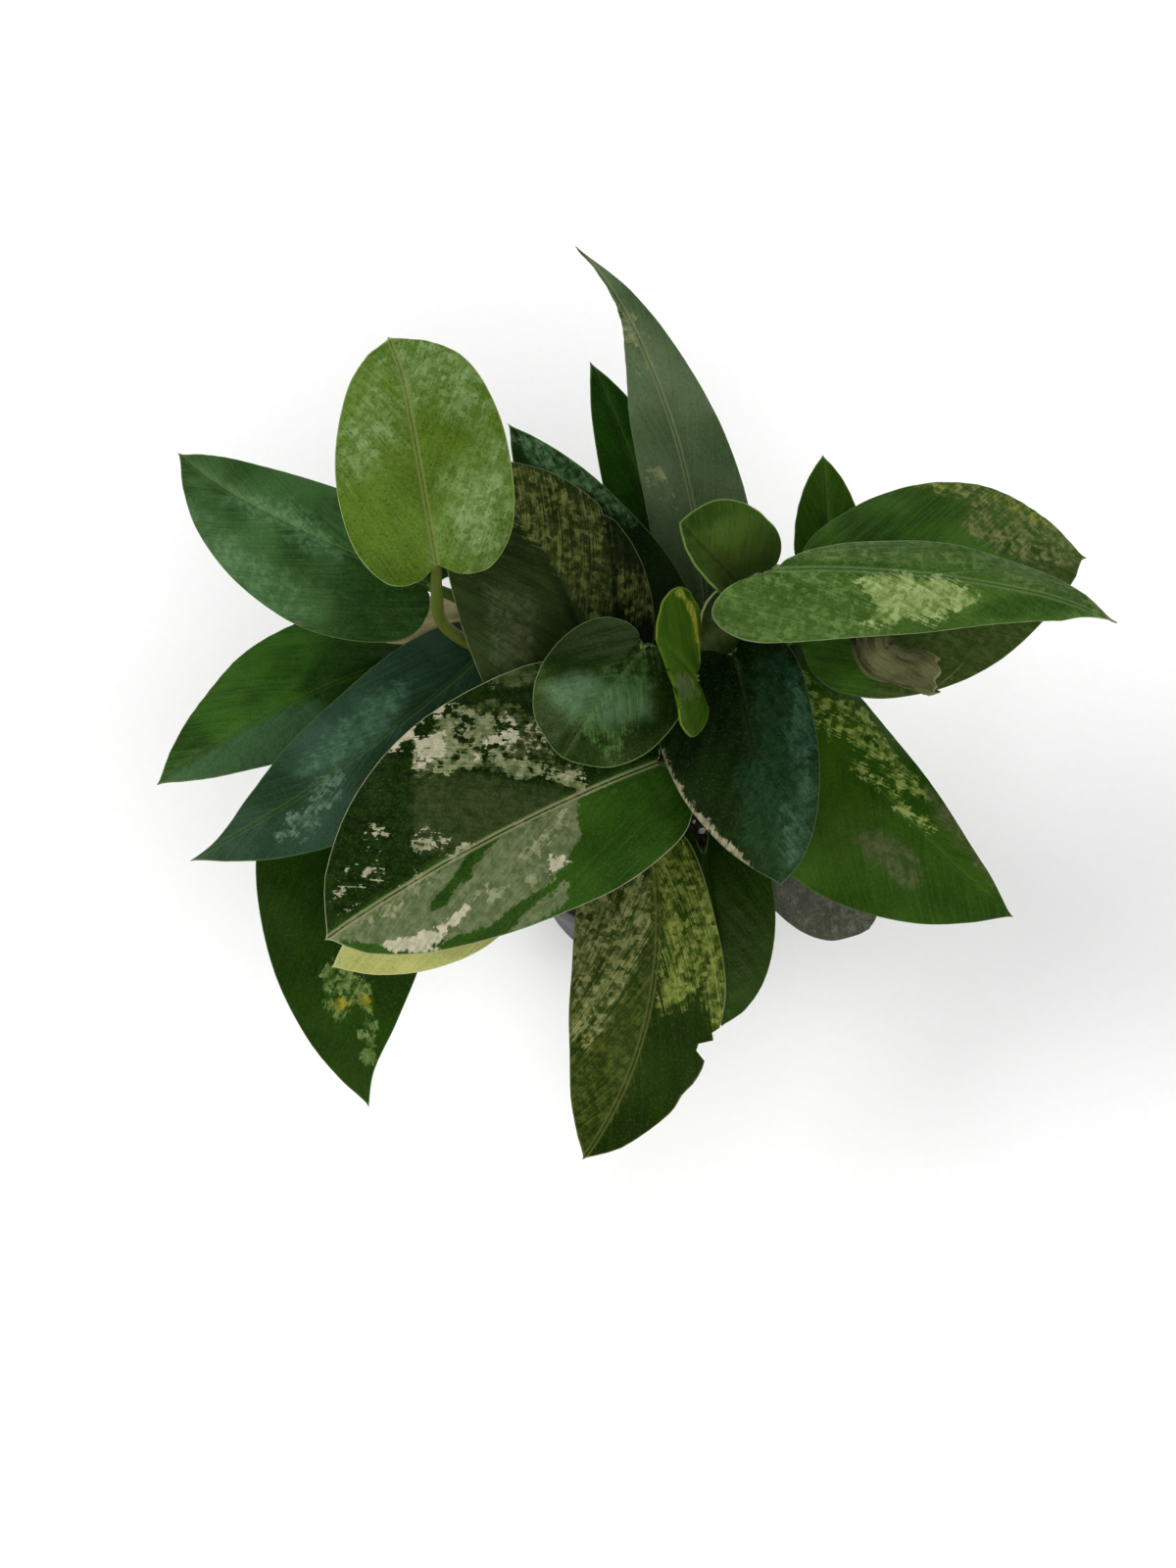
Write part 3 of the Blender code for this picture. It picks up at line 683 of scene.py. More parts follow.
def leaf_finish(
    name, fresh, deep, marks=(), rim=(92, 106, 68), rib=(74, 94, 50), stalk=(78, 98, 44),
    under=(84, 104, 66), rib_share=0.15, rim_share=0.6, lines=0.5, roughness=0.38, gloss=0.16,
    grit=1.0, drawn=0.35,
):
    """A satin leaf skin: two greens in clouds and side-vein lines, with marks over them. A mark
    is (layer, colour, second colour, density, raggedness, softness); drawn is how far the marks
    are drawn out along the side veins."""
    made, tree, shader = new_finish(name)
    shader.inputs["Specular IOR Level"].default_value = gloss
    shader.inputs["Specular Tint"].default_value = (0.75, 1.0, 0.42, 1)

    def layer(key):
        return node(tree, "Attribute", attribute_name=key).outputs["Fac"]

    def times(value, factor):
        return sum_of(tree, "MULTIPLY", value, factor)

    def plus(first, second):
        return sum_of(tree, "ADD", first, second)

    def mix_values(first, second, share):
        return plus(times(first, 1 - share), times(second, share))

    def aslant(vector):
        sockets = {"Vector": vector, "Rotation": (0.7, 1.1, 0.4)}
        return node(tree, "Mapping", sockets).outputs["Vector"]

    where = aslant(node(tree, "TexCoord").outputs["Object"])
    side, vein, edge = layer("side"), layer("vein"), layer("edge")
    clouds = grain(tree, where, 55, 3)
    fine = grain(tree, where, 420, 4, 0.65)
    cells = grain(tree, where, 1600, 2, 0.6)
    lane = aslant(node(tree, "CombineXYZ", {0: side, 1: times(vein, 9.0), 2: 3.1}).outputs[0])
    thread = aslant(node(tree, "CombineXYZ", {0: side, 1: times(vein, 5.0), 2: 3.1}).outputs[0])
    warp = node(tree, "TexNoise", {"Vector": where, "Scale": 400, "Detail": 3}).outputs["Color"]
    bent = {0: warp, 1: (0.0012, 0.0012, 0.0012), 2: where}
    bent = node(tree, "VectorMath", bent, operation="MULTIPLY_ADD").outputs[0]
    patches = mix_values(grain(tree, where, 180, 5, 0.6), grain(tree, lane, 0.13, 5, 0.62), drawn)
    streaks = grain(tree, thread, 0.13, 5, 0.65)
    flakes = node(tree, "TexVoronoi", {"Vector": bent, "Scale": 750}).outputs["Color"]
    flake = node(tree, "SeparateColor", {0: flakes}).outputs[0]
    body = mix(tree, spread(tree, clouds, 0.3, 0.7), paint(*deep), paint(*fresh))
    body = mix(tree, spread(tree, streaks, 0.42, 0.70, 0, lines), body, paint(*fresh))
    body = mix(tree, spread(tree, streaks, 0.50, 0.30, 0, lines), body, paint(*deep))
    # The tear, a value about zero, makes the edges of the marks ragged.
    tear = plus(plus(times(flake, 0.17), times(patches, 1.6)), times(fine, 0.4))
    tear = sum_of(tree, "SUBTRACT", tear, 1.085)
    tones = mix_values(mix_values(fine, streaks, 0.45), flake, 0.12)
    tones = spread(tree, tones, 0.38, 0.64)
    for key, colour, second, density, ragged, soft in marks:
        strength = sum_of(tree, "MINIMUM", layer(key), density)
        strength = plus(strength, times(tear, ragged))
        share = spread(tree, strength, 0.5 - soft, 0.5 + soft)
        if ragged > 1:
            share = times(share, spread(tree, layer(key), 0, 0.2))
        body = mix(tree, share, body, mix(tree, tones, paint(*colour), paint(*second)))
    speck = spread(tree, cells, 0.52, 0.72, 0, 0.22 * grit)
    body = mix(tree, speck, body, paint(*rib))
    pit = spread(tree, cells, 0.46, 0.28, 0, 0.35 * grit)
    body = mix(tree, pit, body, paint(*(part * 0.5 for part in deep)))
    off_rib = node(tree, "Math", {0: side}, operation="ABSOLUTE").outputs[0]
    ridge = spread(tree, off_rib, 0.55, 1.1, rib_share, 0)
    ridge = times(spread(tree, off_rib, 0.10, 0.35), ridge)
    body = mix(tree, ridge, body, paint(*rib))
    body = mix(tree, spread(tree, off_rib, 0.06, 0.24, rib_share, 0), body, paint(*deep))
    off_edge = plus(edge, times(fine, 0.3))
    body = mix(tree, spread(tree, off_edge, 0.20, 0.50, rim_share, 0), body, paint(*rim))
    body = mix(tree, times(layer("under"), 0.75), body, paint(*under))
    stem = mix(tree, fine, paint(*stalk), paint(*(part * 1.25 for part in stalk)))
    body = mix(tree, layer("stalk"), body, stem)
    tree.links.new(body, shader.inputs["Base Color"])
    dull = spread(tree, fine, 0.3, 0.7, roughness - 0.06, roughness + 0.10)
    tree.links.new(dull, shader.inputs["Roughness"])
    skin = relief(tree, streaks, 0.35, 0.40 * MM)
    skin = relief(tree, fine, 0.40, 0.30 * MM, skin)
    tree.links.new(relief(tree, cells, 0.50, 0.15 * MM, skin), shader.inputs["Normal"])
    return made


bright_skin = leaf_finish(
    "bright_skin",
    fresh=(86, 110, 36),
    deep=(62, 84, 20),
    # The pale mark is partly real paler mottling and partly a painted highlight.
    marks=(("pale", (88, 112, 56), (124, 146, 98), 0.78, 1.2, 0.5),),
    rim=(140, 152, 102),
    rib=(116, 120, 74),
    stalk=(82, 92, 40),
    rib_share=0.6,
    rim_share=0.85,
    grit=1.6,
)
grow_leaf(
    "bright_leaf",
    "leaf_bright",
    Blade(
        (-55, 19, 184), (-65, 71, 206), 44, (PEAR, OVAL), bend=40, fold=4, curl=(-20, -20),
        skew=0.03, hook=-2, wave=(0.8, 1.5, 0.2), seed=1, drip=0.9,
    ),
    "left",
    117,
    ((-35, 15, 129), (-46, 16, 138), (-55, 17, 151), (-56, 18, 167)),
    bright_skin,
    marks={
        # The pale shapes are partly real paler mottling and partly a painted highlight.
        "pale": (
            ((0.86, 0.45), (0.90, 0.26), (0.74, 0.01), (0.36, -0.02), (0.13, 0.06), (0.34, 0.30)),
            ((0.01, 0.97), (0.44, 0.96), (0.75, 0.81), (0.87, 0.60), (0.40, 0.67), (0.06, 0.74),
             (-0.17, 0.82)),
            ((-0.80, 0.62), (-0.54, 0.78), (-0.27, 0.76), (-0.24, 0.59), (-0.52, 0.48),
             (-0.86, 0.46)),
        ),
    },
    feather=8,
)


# The upper left leaf
# A full-grown dark leaf of the left vine, narrow and bowed, pointing up and left below the young
# one. Blue-grey light along its lower half is a painted highlight on its satin skin.

LANCE = (
    (0.00, 0.00), (0.30, -0.05), (0.68, -0.03), (0.93, 0.12), (1.00, 0.32),
    (0.87, 0.56), (0.56, 0.78), (0.20, 0.93), (0.00, 1.00),
)
grow_leaf(
    "left_upper_leaf",
    "leaf_left_upper",
    Blade(
        (-60, 30, 149), (-131, 72, 140), 39, (LANCE, LANCE), bend=20, roll=-8, fold=4,
        curl=(-20, -20), skew=-0.2, sweep=-3, hook=2, wave=(0.8, 2, 0.1), seed=2, drip=0.7,
    ),
    "left",
    109,
    ((-35, 25, 122), (-50, 29, 139)),
    leaf_finish(
        "left_upper_skin",
        fresh=(60, 92, 52),
        deep=(24, 54, 20),
        marks=(
            # The sheen mark is a painted highlight: blue-grey light along the lower half.
            ("painted_sheen", (62, 94, 60), (94, 124, 92), 0.74, 1.0, 0.45),
            ("shade", (20, 44, 13), (32, 60, 22), 0.9, 0.6, 0.5),
        ),
        rib_share=0.4,
        roughness=0.34,
        gloss=0.22,
    ),
    marks={
        # The sheen shapes are a painted highlight.
        "painted_sheen": (
            ((-0.49, 0.77), (-0.59, 0.53), (-0.64, 0.37), (-0.75, 0.58)),
            ((-0.02, 0.73), (0.27, 0.51), (-0.05, 0.31), (-0.08, 0.46)),
            ((-0.92, 0.30), (-0.84, 0.56), (-0.50, 0.84), (-0.60, 0.66)),
        ),
        "shade": (((-1.20, -0.20), (1.20, -0.20), (1.20, 0.12), (0.20, 0.24), (-1.20, 0.20)),),
    },
    feather=6,
)


# The tan leaf
# An old leaf of the left vine that has dried to tan and shrunk, still hanging under the green
# ones, so that only slivers of it show.

grow_leaf(
    "tan_leaf",
    "leaf_tan",
    Blade((-50, 30, 127), (-90, 31, 120), 15, (LANCE, LANCE), bend=15, curl=(-20, -20), seed=3),
    "left",
    92,
    ((-36, 20, 104), (-45, 27, 118)),
    leaf_finish(
        "tan_skin",
        fresh=(210, 200, 160),
        deep=(160, 147, 105),
        rim=(199, 189, 150),
        rib=(167, 154, 114),
        stalk=(111, 110, 68),
        under=(167, 154, 116),
        roughness=0.7,
        gloss=0.1,
    ),
    stalk=1.4,
)


# The silver-backed left leaf
# A blue-green leaf of the left vine that points left and down and ends in a fine drip tip. A
# silvery patch lies over its lower half near the tip; it and a haze on the other half are partly
# real silvery skin and partly painted highlight.

DRIP = (
    (0.00, 0.00), (0.30, -0.05), (0.68, -0.03), (0.94, 0.11), (1.00, 0.31),
    (0.84, 0.54), (0.45, 0.74), (0.12, 0.88), (0.00, 1.00),
)
grow_leaf(
    "left_silver_leaf",
    "leaf_left_silver",
    Blade(
        (-48, 15, 132), (-123, -38, 122), 39, (LANCE, DRIP), bend=20, fold=6, curl=(-15, -15),
        skew=-0.1, sweep=-4.5, wave=(0.8, 2, 0.4), seed=4,
    ),
    "left",
    101,
    ((-34, 8, 107), (-43, 13, 121)),
    leaf_finish(
        "left_silver_skin",
        fresh=(58, 82, 68),
        deep=(30, 54, 36),
        marks=(
            # The haze and silver marks are partly real silvery skin and partly a painted highlight.
            ("haze", (56, 86, 66), (80, 110, 88), 0.72, 1.2, 0.4),
            ("silver", (60, 86, 68), (102, 126, 106), 0.60, 2.0, 0.2),
        ),
        rib_share=0.4,
    ),
    marks={
        # These shapes are partly real silvery skin and partly a painted highlight.
        "silver": (
            ((-0.37, 0.74), (-0.16, 0.68), (-0.01, 0.57), (0.00, 0.50), (-0.23, 0.55),
             (-0.50, 0.67)),
        ),
        "haze": (
            ((0.33, 0.61), (0.56, 0.45), (0.55, 0.24), (0.47, 0.18), (0.06, 0.31), (0.02, 0.48)),
        ),
    },
)


# The lower left leaf
# The largest narrow leaf of the left vine, nearly flat: deep green above its midrib, and lighter
# below it, where satin light is a painted highlight.

grow_leaf(
    "left_green_leaf",
    "leaf_left_green",
    Blade(
        (-65, 24, 114), (-137, -9, 101), 41, (LANCE, LANCE), bend=25, roll=4, fold=-4,
        curl=(-10, -10), skew=0.2, sweep=2.5, wave=(0.8, 2, 0.7), seed=5,
    ),
    "left",
    84,
    ((-36, 15, 96), (-52, 21, 107)),
    leaf_finish(
        "left_green_skin",
        fresh=(53, 89, 28),
        deep=(20, 50, 7),
        marks=(
            # The satin mark is a painted highlight on the half below the midrib.
            ("satin", (50, 80, 50), (60, 90, 62), 0.9, 0.5, 0.25),
            ("shade", (16, 42, 6), (24, 54, 10), 0.8, 0.6, 0.5),
        ),
        rib_share=0.2,
        roughness=0.34,
        gloss=0.2,
    ),
    marks={
        # A painted highlight below the midrib.
        "satin": (((-1.20, 0.30), (-0.10, 0.34), (-0.04, 1.00), (-1.20, 1.10)),),
        "shade": (
            ((-1.20, -0.20), (1.20, -0.20), (1.00, 0.10), (0.40, 0.30), (0.10, 0.42),
             (-1.20, 0.24)),
        ),
    },
    feather=3,
)


# The marbled leaf
# The largest and clearest leaf, on the front vine. Its skin is marbled in sectors that follow
# the side veins: grey-green where the cells hold little green, cream where they hold none.

OVATE = (
    (0.00, 0.00), (0.30, -0.10), (0.68, -0.09), (0.95, 0.07), (1.00, 0.30),
    (0.93, 0.52), (0.70, 0.76), (0.32, 0.93), (0.00, 1.00),
)
HEART = (
    (0.00, 0.00), (0.30, -0.05), (0.60, -0.02), (0.84, 0.07), (1.00, 0.28),
    (0.93, 0.52), (0.70, 0.76), (0.32, 0.93), (0.00, 1.00),
)
marbled_skin = leaf_finish(
    "marbled_skin",
    fresh=(52, 84, 23),
    deep=(34, 62, 10),
    marks=(
        ("shade", (8, 27, 1), (24, 48, 7), 0.9, 0.8, 0.3),
        ("smoke", (44, 57, 28), (60, 70, 40), 0.85, 0.9, 0.45),
        ("dim", (40, 56, 22), (82, 90, 56), 0.58, 1.8, 0.1),
        ("grey", (80, 92, 60), (110, 118, 88), 1.0, 0.9, 0.04),
        ("light", (80, 94, 52), (138, 140, 110), 0.60, 1.7, 0.05),
        ("cream", (152, 150, 126), (182, 176, 154), 0.92, 1.3, 0.04),
        ("flecks", (106, 112, 80), (160, 156, 132), 0.26, 2.0, 0.06),
        ("stripe", (32, 58, 12), (46, 74, 22), 1.0, 0.7, 0.04),
    ),
    rim=(146, 148, 122),
    rib=(138, 134, 106),
    rib_share=0.7,
    rim_share=0.9,
    grit=0.5,
    drawn=0.3,
)
grow_leaf(
    "marbled_leaf",
    "leaf_marbled",
    Blade(
        (0, -21, 150), (-83, -68, 150), 65, (HEART, OVATE), bend=25, roll=-4, fold=3,
        curl=(-25, -18), skew=0.2, sweep=2, wave=(0.9, 2.5, 0.3), seed=6,
    ),
    "front",
    105,
    ((-1, -25, 122), (3, -20, 140)),
    marbled_skin,
    columns=76,
    rows=120,
    marks={
        "shade": (((0.03, -0.2), (1.3, -0.2), (1.3, 0.5), (1.0, 0.9), (0.3, 1.2), (0.03, 1.1)),),
        "smoke": (
            ((0.58, 0.59), (0.49, 0.49), (0.33, 0.41), (0.15, 0.32), (0.12, 0.25), (0.02, 0.29),
             (0.02, 0.58), (0.11, 0.66), (0.26, 0.67), (0.42, 0.64)),
        ),
        "grey": (
            ((-0.01, 1.0), (-0.01, 0.69), (-0.01, 0.30), (-0.01, 0.14), (-0.03, 0.24),
             (-0.16, 0.26), (-0.38, 0.28), (-0.43, 0.31), (-0.57, 0.35), (-0.65, 0.39),
             (-0.69, 0.51), (-0.75, 0.61), (-0.66, 0.72), (-0.41, 0.86), (-0.22, 0.92)),
            ((-0.69, 0.38), (-0.75, 0.43), (-0.79, 0.51), (-0.83, 0.58), (-0.95, 0.52),
             (-0.96, 0.45), (-0.88, 0.39), (-0.78, 0.38)),
            ((0.49, 0.39), (0.41, 0.35), (0.31, 0.31), (0.21, 0.31), (0.24, 0.34), (0.31, 0.37)),
        ),
        "light": (
            ((0.96, 0.47), (0.96, 0.40), (0.89, 0.36), (0.82, 0.36), (0.66, 0.29), (0.56, 0.30),
             (0.45, 0.35), (0.49, 0.42), (0.46, 0.44), (0.55, 0.51), (0.65, 0.56), (0.74, 0.56),
             (0.81, 0.53), (0.79, 0.49), (0.84, 0.46), (0.92, 0.49)),
            ((0.34, 0.30), (0.12, 0.22), (0.06, 0.22), (0.20, 0.31), (0.40, 0.38), (0.44, 0.36)),
            ((-0.10, 0.30), (-0.20, 0.30), (-0.36, 0.42), (-0.30, 0.44)),
            ((-0.58, 0.44), (-0.52, 0.44), (-0.40, 0.60), (-0.46, 0.62)),
            ((-0.08, 0.66), (-0.02, 0.70), (-0.06, 0.90), (-0.14, 0.90)),
        ),
        "dim": (
            ((1.04, 0.26), (1.04, 0.21), (0.99, 0.13), (0.85, 0.17), (0.91, 0.23), (0.97, 0.29)),
            ((0.95, 0.40), (0.80, 0.28), (0.55, 0.22), (0.39, 0.25), (0.28, 0.22), (0.12, 0.16),
             (0.13, 0.22), (0.24, 0.32), (0.45, 0.42), (0.60, 0.56), (0.80, 0.52)),
        ),
        "cream": (
            ((-0.38, 0.86), (-0.47, 0.79), (-0.51, 0.71), (-0.48, 0.64), (-0.57, 0.69),
             (-0.61, 0.72), (-0.66, 0.75), (-0.59, 0.81), (-0.46, 0.86)),
            ((-0.46, 0.38), (-0.54, 0.34), (-0.59, 0.37), (-0.60, 0.41), (-0.54, 0.42)),
            ((0.83, 0.54), (0.79, 0.47), (0.64, 0.50), (0.66, 0.56)),
            ((0.99, 0.46), (0.99, 0.39), (0.91, 0.43), (0.92, 0.47)),
            ((0.88, 0.61), (0.96, 0.55), (0.97, 0.49), (0.89, 0.53), (0.83, 0.60)),
            ((0.70, 0.29), (0.62, 0.28), (0.54, 0.30), (0.53, 0.35), (0.55, 0.38), (0.53, 0.42),
             (0.62, 0.36), (0.60, 0.32)),
        ),
        "flecks": (
            ((0.44, 0.74), (0.40, 0.82), (0.26, 0.88), (0.12, 0.94), (0.12, 0.82), (0.28, 0.74)),
            ((0.24, 0.62), (0.20, 0.70), (0.08, 0.70), (0.02, 0.56), (0.12, 0.57)),
            ((0.60, 0.24), (0.50, 0.18), (0.13, 0.13), (0.13, 0.22), (0.30, 0.28), (0.46, 0.28)),
        ),
        "stripe": (
            ((0.00, 0.43), (0.03, 0.46), (0.01, 0.50), (-0.03, 0.56), (-0.08, 0.59),
             (-0.17, 0.63), (-0.22, 0.69), (-0.33, 0.73), (-0.37, 0.69), (-0.32, 0.66),
             (-0.24, 0.61), (-0.15, 0.56), (-0.09, 0.51), (-0.02, 0.46)),
            ((-0.69, 0.40), (-0.69, 0.45), (-0.70, 0.53), (-0.75, 0.58), (-0.76, 0.65),
             (-0.72, 0.71), (-0.87, 0.63), (-0.84, 0.55), (-0.76, 0.49), (-0.72, 0.42)),
        ),
    },
)


# The round leaf
# A dark glossy leaf of the front vine, nearly round and domed, that lies over the base of the
# marbled one. Fine pale lines fan out from its notch, and a band of painted highlight crosses its
# lower half.

ROUND = (
    (0.00, 0.00), (0.26, -0.12), (0.66, -0.10), (0.95, 0.11), (1.00, 0.40),
    (0.91, 0.67), (0.64, 0.87), (0.24, 0.97), (0.00, 1.00),
)
grow_leaf(
    "round_leaf",
    "leaf_round",
    Blade(
        (-4, 0, 177), (-24, -28, 173), 37, (ROUND, ROUND), bend=50, curl=(-22, -22),
        wave=(0.5, 1.5, 0), seed=7, drip=0,
    ),
    "front",
    110,
    ((5, -10, 130), (4, 1, 148), (-1, 4, 164)),
    leaf_finish(
        "round_skin",
        fresh=(30, 50, 10),
        deep=(12, 28, 2),
        marks=(
            # This mark is a painted highlight in a band across the lower half of the dome.
            ("painted_highlight", (74, 100, 68), (92, 116, 90), 0.88, 0.35, 0.5),
            ("fan", (44, 70, 28), (72, 98, 54), 0.42, 1.6, 0.3),
        ),
        rim=(110, 122, 86),
        rim_share=0.8,
        roughness=0.32,
        gloss=0.22,
        drawn=0.6,
    ),
    marks={
        # A painted highlight across the lower half of the dome.
        "painted_highlight": (
            ((0.75, 0.66), (0.45, 0.45), (0.02, 0.38), (-0.36, 0.20), (-0.68, 0.40),
             (-0.28, 0.66), (0.10, 0.74), (0.42, 0.72)),
        ),
        "fan": (
            ((-0.12, -0.12), (-0.05, 0.04), (0.15, 0.32), (0.08, 0.72), (-0.36, 0.79),
             (-0.60, 0.82), (-0.57, 0.53), (-0.47, 0.23), (-0.25, -0.06)),
        ),
    },
)


# The folded leaf
# The newest leaf of the right vine, just unrolled: yellow-green, still half folded, so that it is
# seen nearly on edge, with a rolled yellow margin. Its lower half hangs as a rounded lobe.

LOBED = (
    (0.00, 0.00), (0.10, -0.20), (0.24, -0.32), (0.50, -0.22), (0.84, 0.08),
    (1.05, 0.36), (1.06, 0.56), (0.86, 0.67), (0.60, 0.70),
)
grow_leaf(
    "folded_leaf",
    "leaf_folded",
    Blade(
        (9, -11, 183), (-1, -12, 209), 36, (LOBED, ROUND), bend=6, curl=(0, 25), crumple=0.8,
        seed=8, drip=0,
    ),
    "right",
    113,
    ((18, 9, 132), (10, 13, 157), (8, 5, 172)),
    leaf_finish(
        "folded_skin",
        fresh=(66, 94, 18),
        deep=(40, 66, 6),
        marks=(
            ("dull", (70, 86, 46), (92, 102, 68), 0.75, 1.0, 0.4),
            ("roll", (108, 112, 34), (148, 146, 60), 1.0, 0.8, 0.2),
        ),
        rim=(120, 128, 48),
        rib=(84, 108, 30),
        stalk=(74, 98, 26),
        under=(66, 92, 22),
    ),
    stalk=1.8,
    marks={
        "dull": (((-0.47, 0.87), (-0.07, 0.27), (-0.19, -0.13), (-0.71, 0.64)),),
        "roll": (
            ((0.76, 0.74), (0.90, 0.66), (0.90, 0.18), (0.54, -0.12), (0.30, -0.10),
             (0.44, -0.02), (0.76, 0.22), (0.80, 0.60)),
        ),
    },
    feather=1.5,
)


# The cupped leaf
# The newest leaf of the back vine, bright and small, with both halves still lifted like a cup
# and an olive flush beside its midrib.

grow_leaf(
    "cupped_leaf",
    "leaf_cupped",
    Blade(
        (22, 21, 167), (5, 27, 191), 33, (ROUND, ROUND), bend=15, fold=22, curl=(30, 30),
        skew=-0.06, seed=9, drip=0,
    ),
    "back",
    117,
    ((16, 23, 135), (21, 23, 155)),
    leaf_finish(
        "cupped_skin",
        fresh=(78, 100, 42),
        deep=(42, 66, 18),
        marks=(("flush", (52, 74, 18), (82, 92, 34), 0.56, 1.4, 0.4),),
        rim=(112, 128, 76),
        stalk=(76, 94, 36),
        under=(66, 92, 26),
        rim_share=0.7,
        drawn=0.6,
    ),
    stalk=1.8,
    marks={"flush": (((0.20, 0.66), (0.10, 0.20), (-0.40, 0.30), (-0.40, 0.63), (-0.1, 0.80)),)},
)


# The bract
# The short sheath beside the cupped leaf's stalk, olive green with a pale margin that is drying.
# It wrapped the bud that the leaf grew from.

grow_leaf(
    "bract",
    None,
    Blade(
        (17, 8, 146), (15, 14, 180), 16, (OVAL, OVAL), bend=12, fold=10, curl=(35, 35),
        crumple=0.4, seed=25,
    ),
    "right",
    113,
    ((19, 5, 128),),
    leaf_finish(
        "bract_skin",
        fresh=(66, 84, 30),
        deep=(44, 58, 16),
        marks=(("dry", (66, 78, 34), (88, 94, 54), 0.6, 1.6, 0.3),),
        rim=(140, 140, 108),
        rim_share=0.9,
    ),
    stalk=1.5,
    marks={"dry": (((-0.2, 0.3), (0.3, 0.3), (0.2, 0.9), (-0.2, 0.9)),)},
)


# The long right leaf
# A long light green leaf of the right vine, held high and pointing right, with one large lobe
# beside its stalk and one small one. A pale marbled patch crosses its lower half.

NARROW = (
    (0.00, 0.00), (0.08, 0.01), (0.30, 0.04), (0.62, 0.13), (0.93, 0.30),
    (1.00, 0.50), (0.80, 0.74), (0.35, 0.92), (0.00, 1.00),
)
ARROW = (
    (0.00, 0.00), (0.20, -0.13), (0.58, -0.17), (0.92, -0.08), (1.00, 0.10),
    (0.88, 0.34), (0.60, 0.60), (0.26, 0.85), (0.00, 1.00),
)
grow_leaf(
    "long_right_leaf",
    "leaf_long_right",
    Blade(
        (28, 13, 194), (113, 5, 184), 30, (NARROW, ARROW), bend=20, fold=-12, curl=(-25, -20),
        skew=0.2, sweep=-2.5, hook=1.5, wave=(0.8, 2, 0.3), seed=10, drip=0.9,
    ),
    "right",
    117,
    ((29, 14, 140), (30, 21, 165), (30, 18, 182)),
    leaf_finish(
        "long_right_skin",
        fresh=(68, 95, 39),
        deep=(46, 73, 24),
        marks=(
            ("haze", (58, 85, 34), (98, 120, 68), 0.53, 1.8, 0.35),
            ("deep", (42, 70, 20), (56, 84, 32), 0.9, 0.9, 0.25),
            ("pale", (92, 114, 54), (148, 160, 110), 0.76, 1.4, 0.12),
        ),
        rim=(124, 136, 104),
        rib=(108, 124, 86),
        rib_share=0.45,
        rim_share=0.8,
        drawn=0.6,
    ),
    columns=48,
    rows=80,
    marks={
        "haze": (
            ((0.20, -0.25), (0.04, 0.03), (0.04, 0.40), (0.70, 0.36), (1.2, 0.10), (0.80, -0.25)),
            ((-0.30, 0.02), (-1.20, 0.10), (-1.20, 0.60), (-0.80, 0.80), (-0.20, 0.50)),
            ((0.05, 0.66), (-0.60, 0.66), (-0.50, 1.00), (0.30, 0.96)),
        ),
        "deep": (
            ((0.25, 0.59), (0.04, 0.73), (-0.10, 0.88), (0.12, 0.86), (0.41, 0.71), (0.60, 0.55)),
        ),
        "pale": (
            ((0.16, 0.23), (-0.01, 0.31), (0.05, 0.40), (0.03, 0.47), (0.13, 0.53), (0.22, 0.59),
             (0.41, 0.55), (0.58, 0.48), (0.60, 0.40), (0.72, 0.33), (0.76, 0.25), (0.51, 0.30),
             (0.39, 0.28)),
        ),
    },
)


# The dry sheath
# The papery sheath that wrapped a new leaf before it opened. It has dried to greyish beige and
# rolled itself into a bent tube, open underneath, with a torn and frayed end.

PAPER_THICKNESS = 0.35 * MM
PAPER_HALF = 9
PAPER_LENGTH = 32
PAPER_START = 6
SHEATH_PATH = (
    (46, 11, 175), (51, 9, 177), (52.5, 3, 178), (54, -2, 176), (60, -4.5, 174), (69, -5.5, 173),
)
SHEATH_RADII = (1.4, 3.4, 4.6, 5.2, 4.4, 5.4)
SHEATH_WRAP = (300, 290, 280, 280, 250, 190)
SHEATH_TURN = (0, 0, 5, 15, 35, 80)
SHEATH_LED = ((34, 6, 130), (32, 8, 144), (34, 9, 160), (46, 11, 175))
SHEATH_STALK = (1.3, 0.4)
FRAY = 2.6 * MM
THREAD_PATH = ((70, -8, 172), (73, -6, 173), (76, -3, 173))
THREAD_RADII = (0.35 * MM, 0.25 * MM, 0.12 * MM)
SHEATH_GLANCE = 0.02
SHEATH_DENTS = 0.30
SHEATH_RIDGES = 0.14


def sheath_point(across, along):
    """A place on the paper: across from -1 to 1 between its free edges, along from 0 to 1."""
    stops = [metres(stop) for stop in SHEATH_PATH]
    centre = through(stops, along)
    ahead = through(stops, min(along + SHEATH_GLANCE, 1))
    behind = through(stops, max(along - SHEATH_GLANCE, 0))
    heading = (ahead - behind).normalized()
    side = heading.cross(UP).normalized()
    face = side.cross(heading)
    radius, wrap, turn = through(list(zip(SHEATH_RADII, SHEATH_WRAP, SHEATH_TURN)), along)
    angle = math.radians(turn + across * wrap / 2)
    dent = noise.noise(Vector((angle * 1.3, along * 5, 8)))
    ridge = noise.noise(Vector((angle * 4, along * 3, 2)))
    radius *= 1 + SHEATH_DENTS * dent + SHEATH_RIDGES * ridge
    fray = FRAY * along**4 * noise.noise(Vector((across * 4, 3, 5)))
    place = centre + (side * math.sin(angle) + face * math.cos(angle)) * radius * MM
    return place + heading * fray


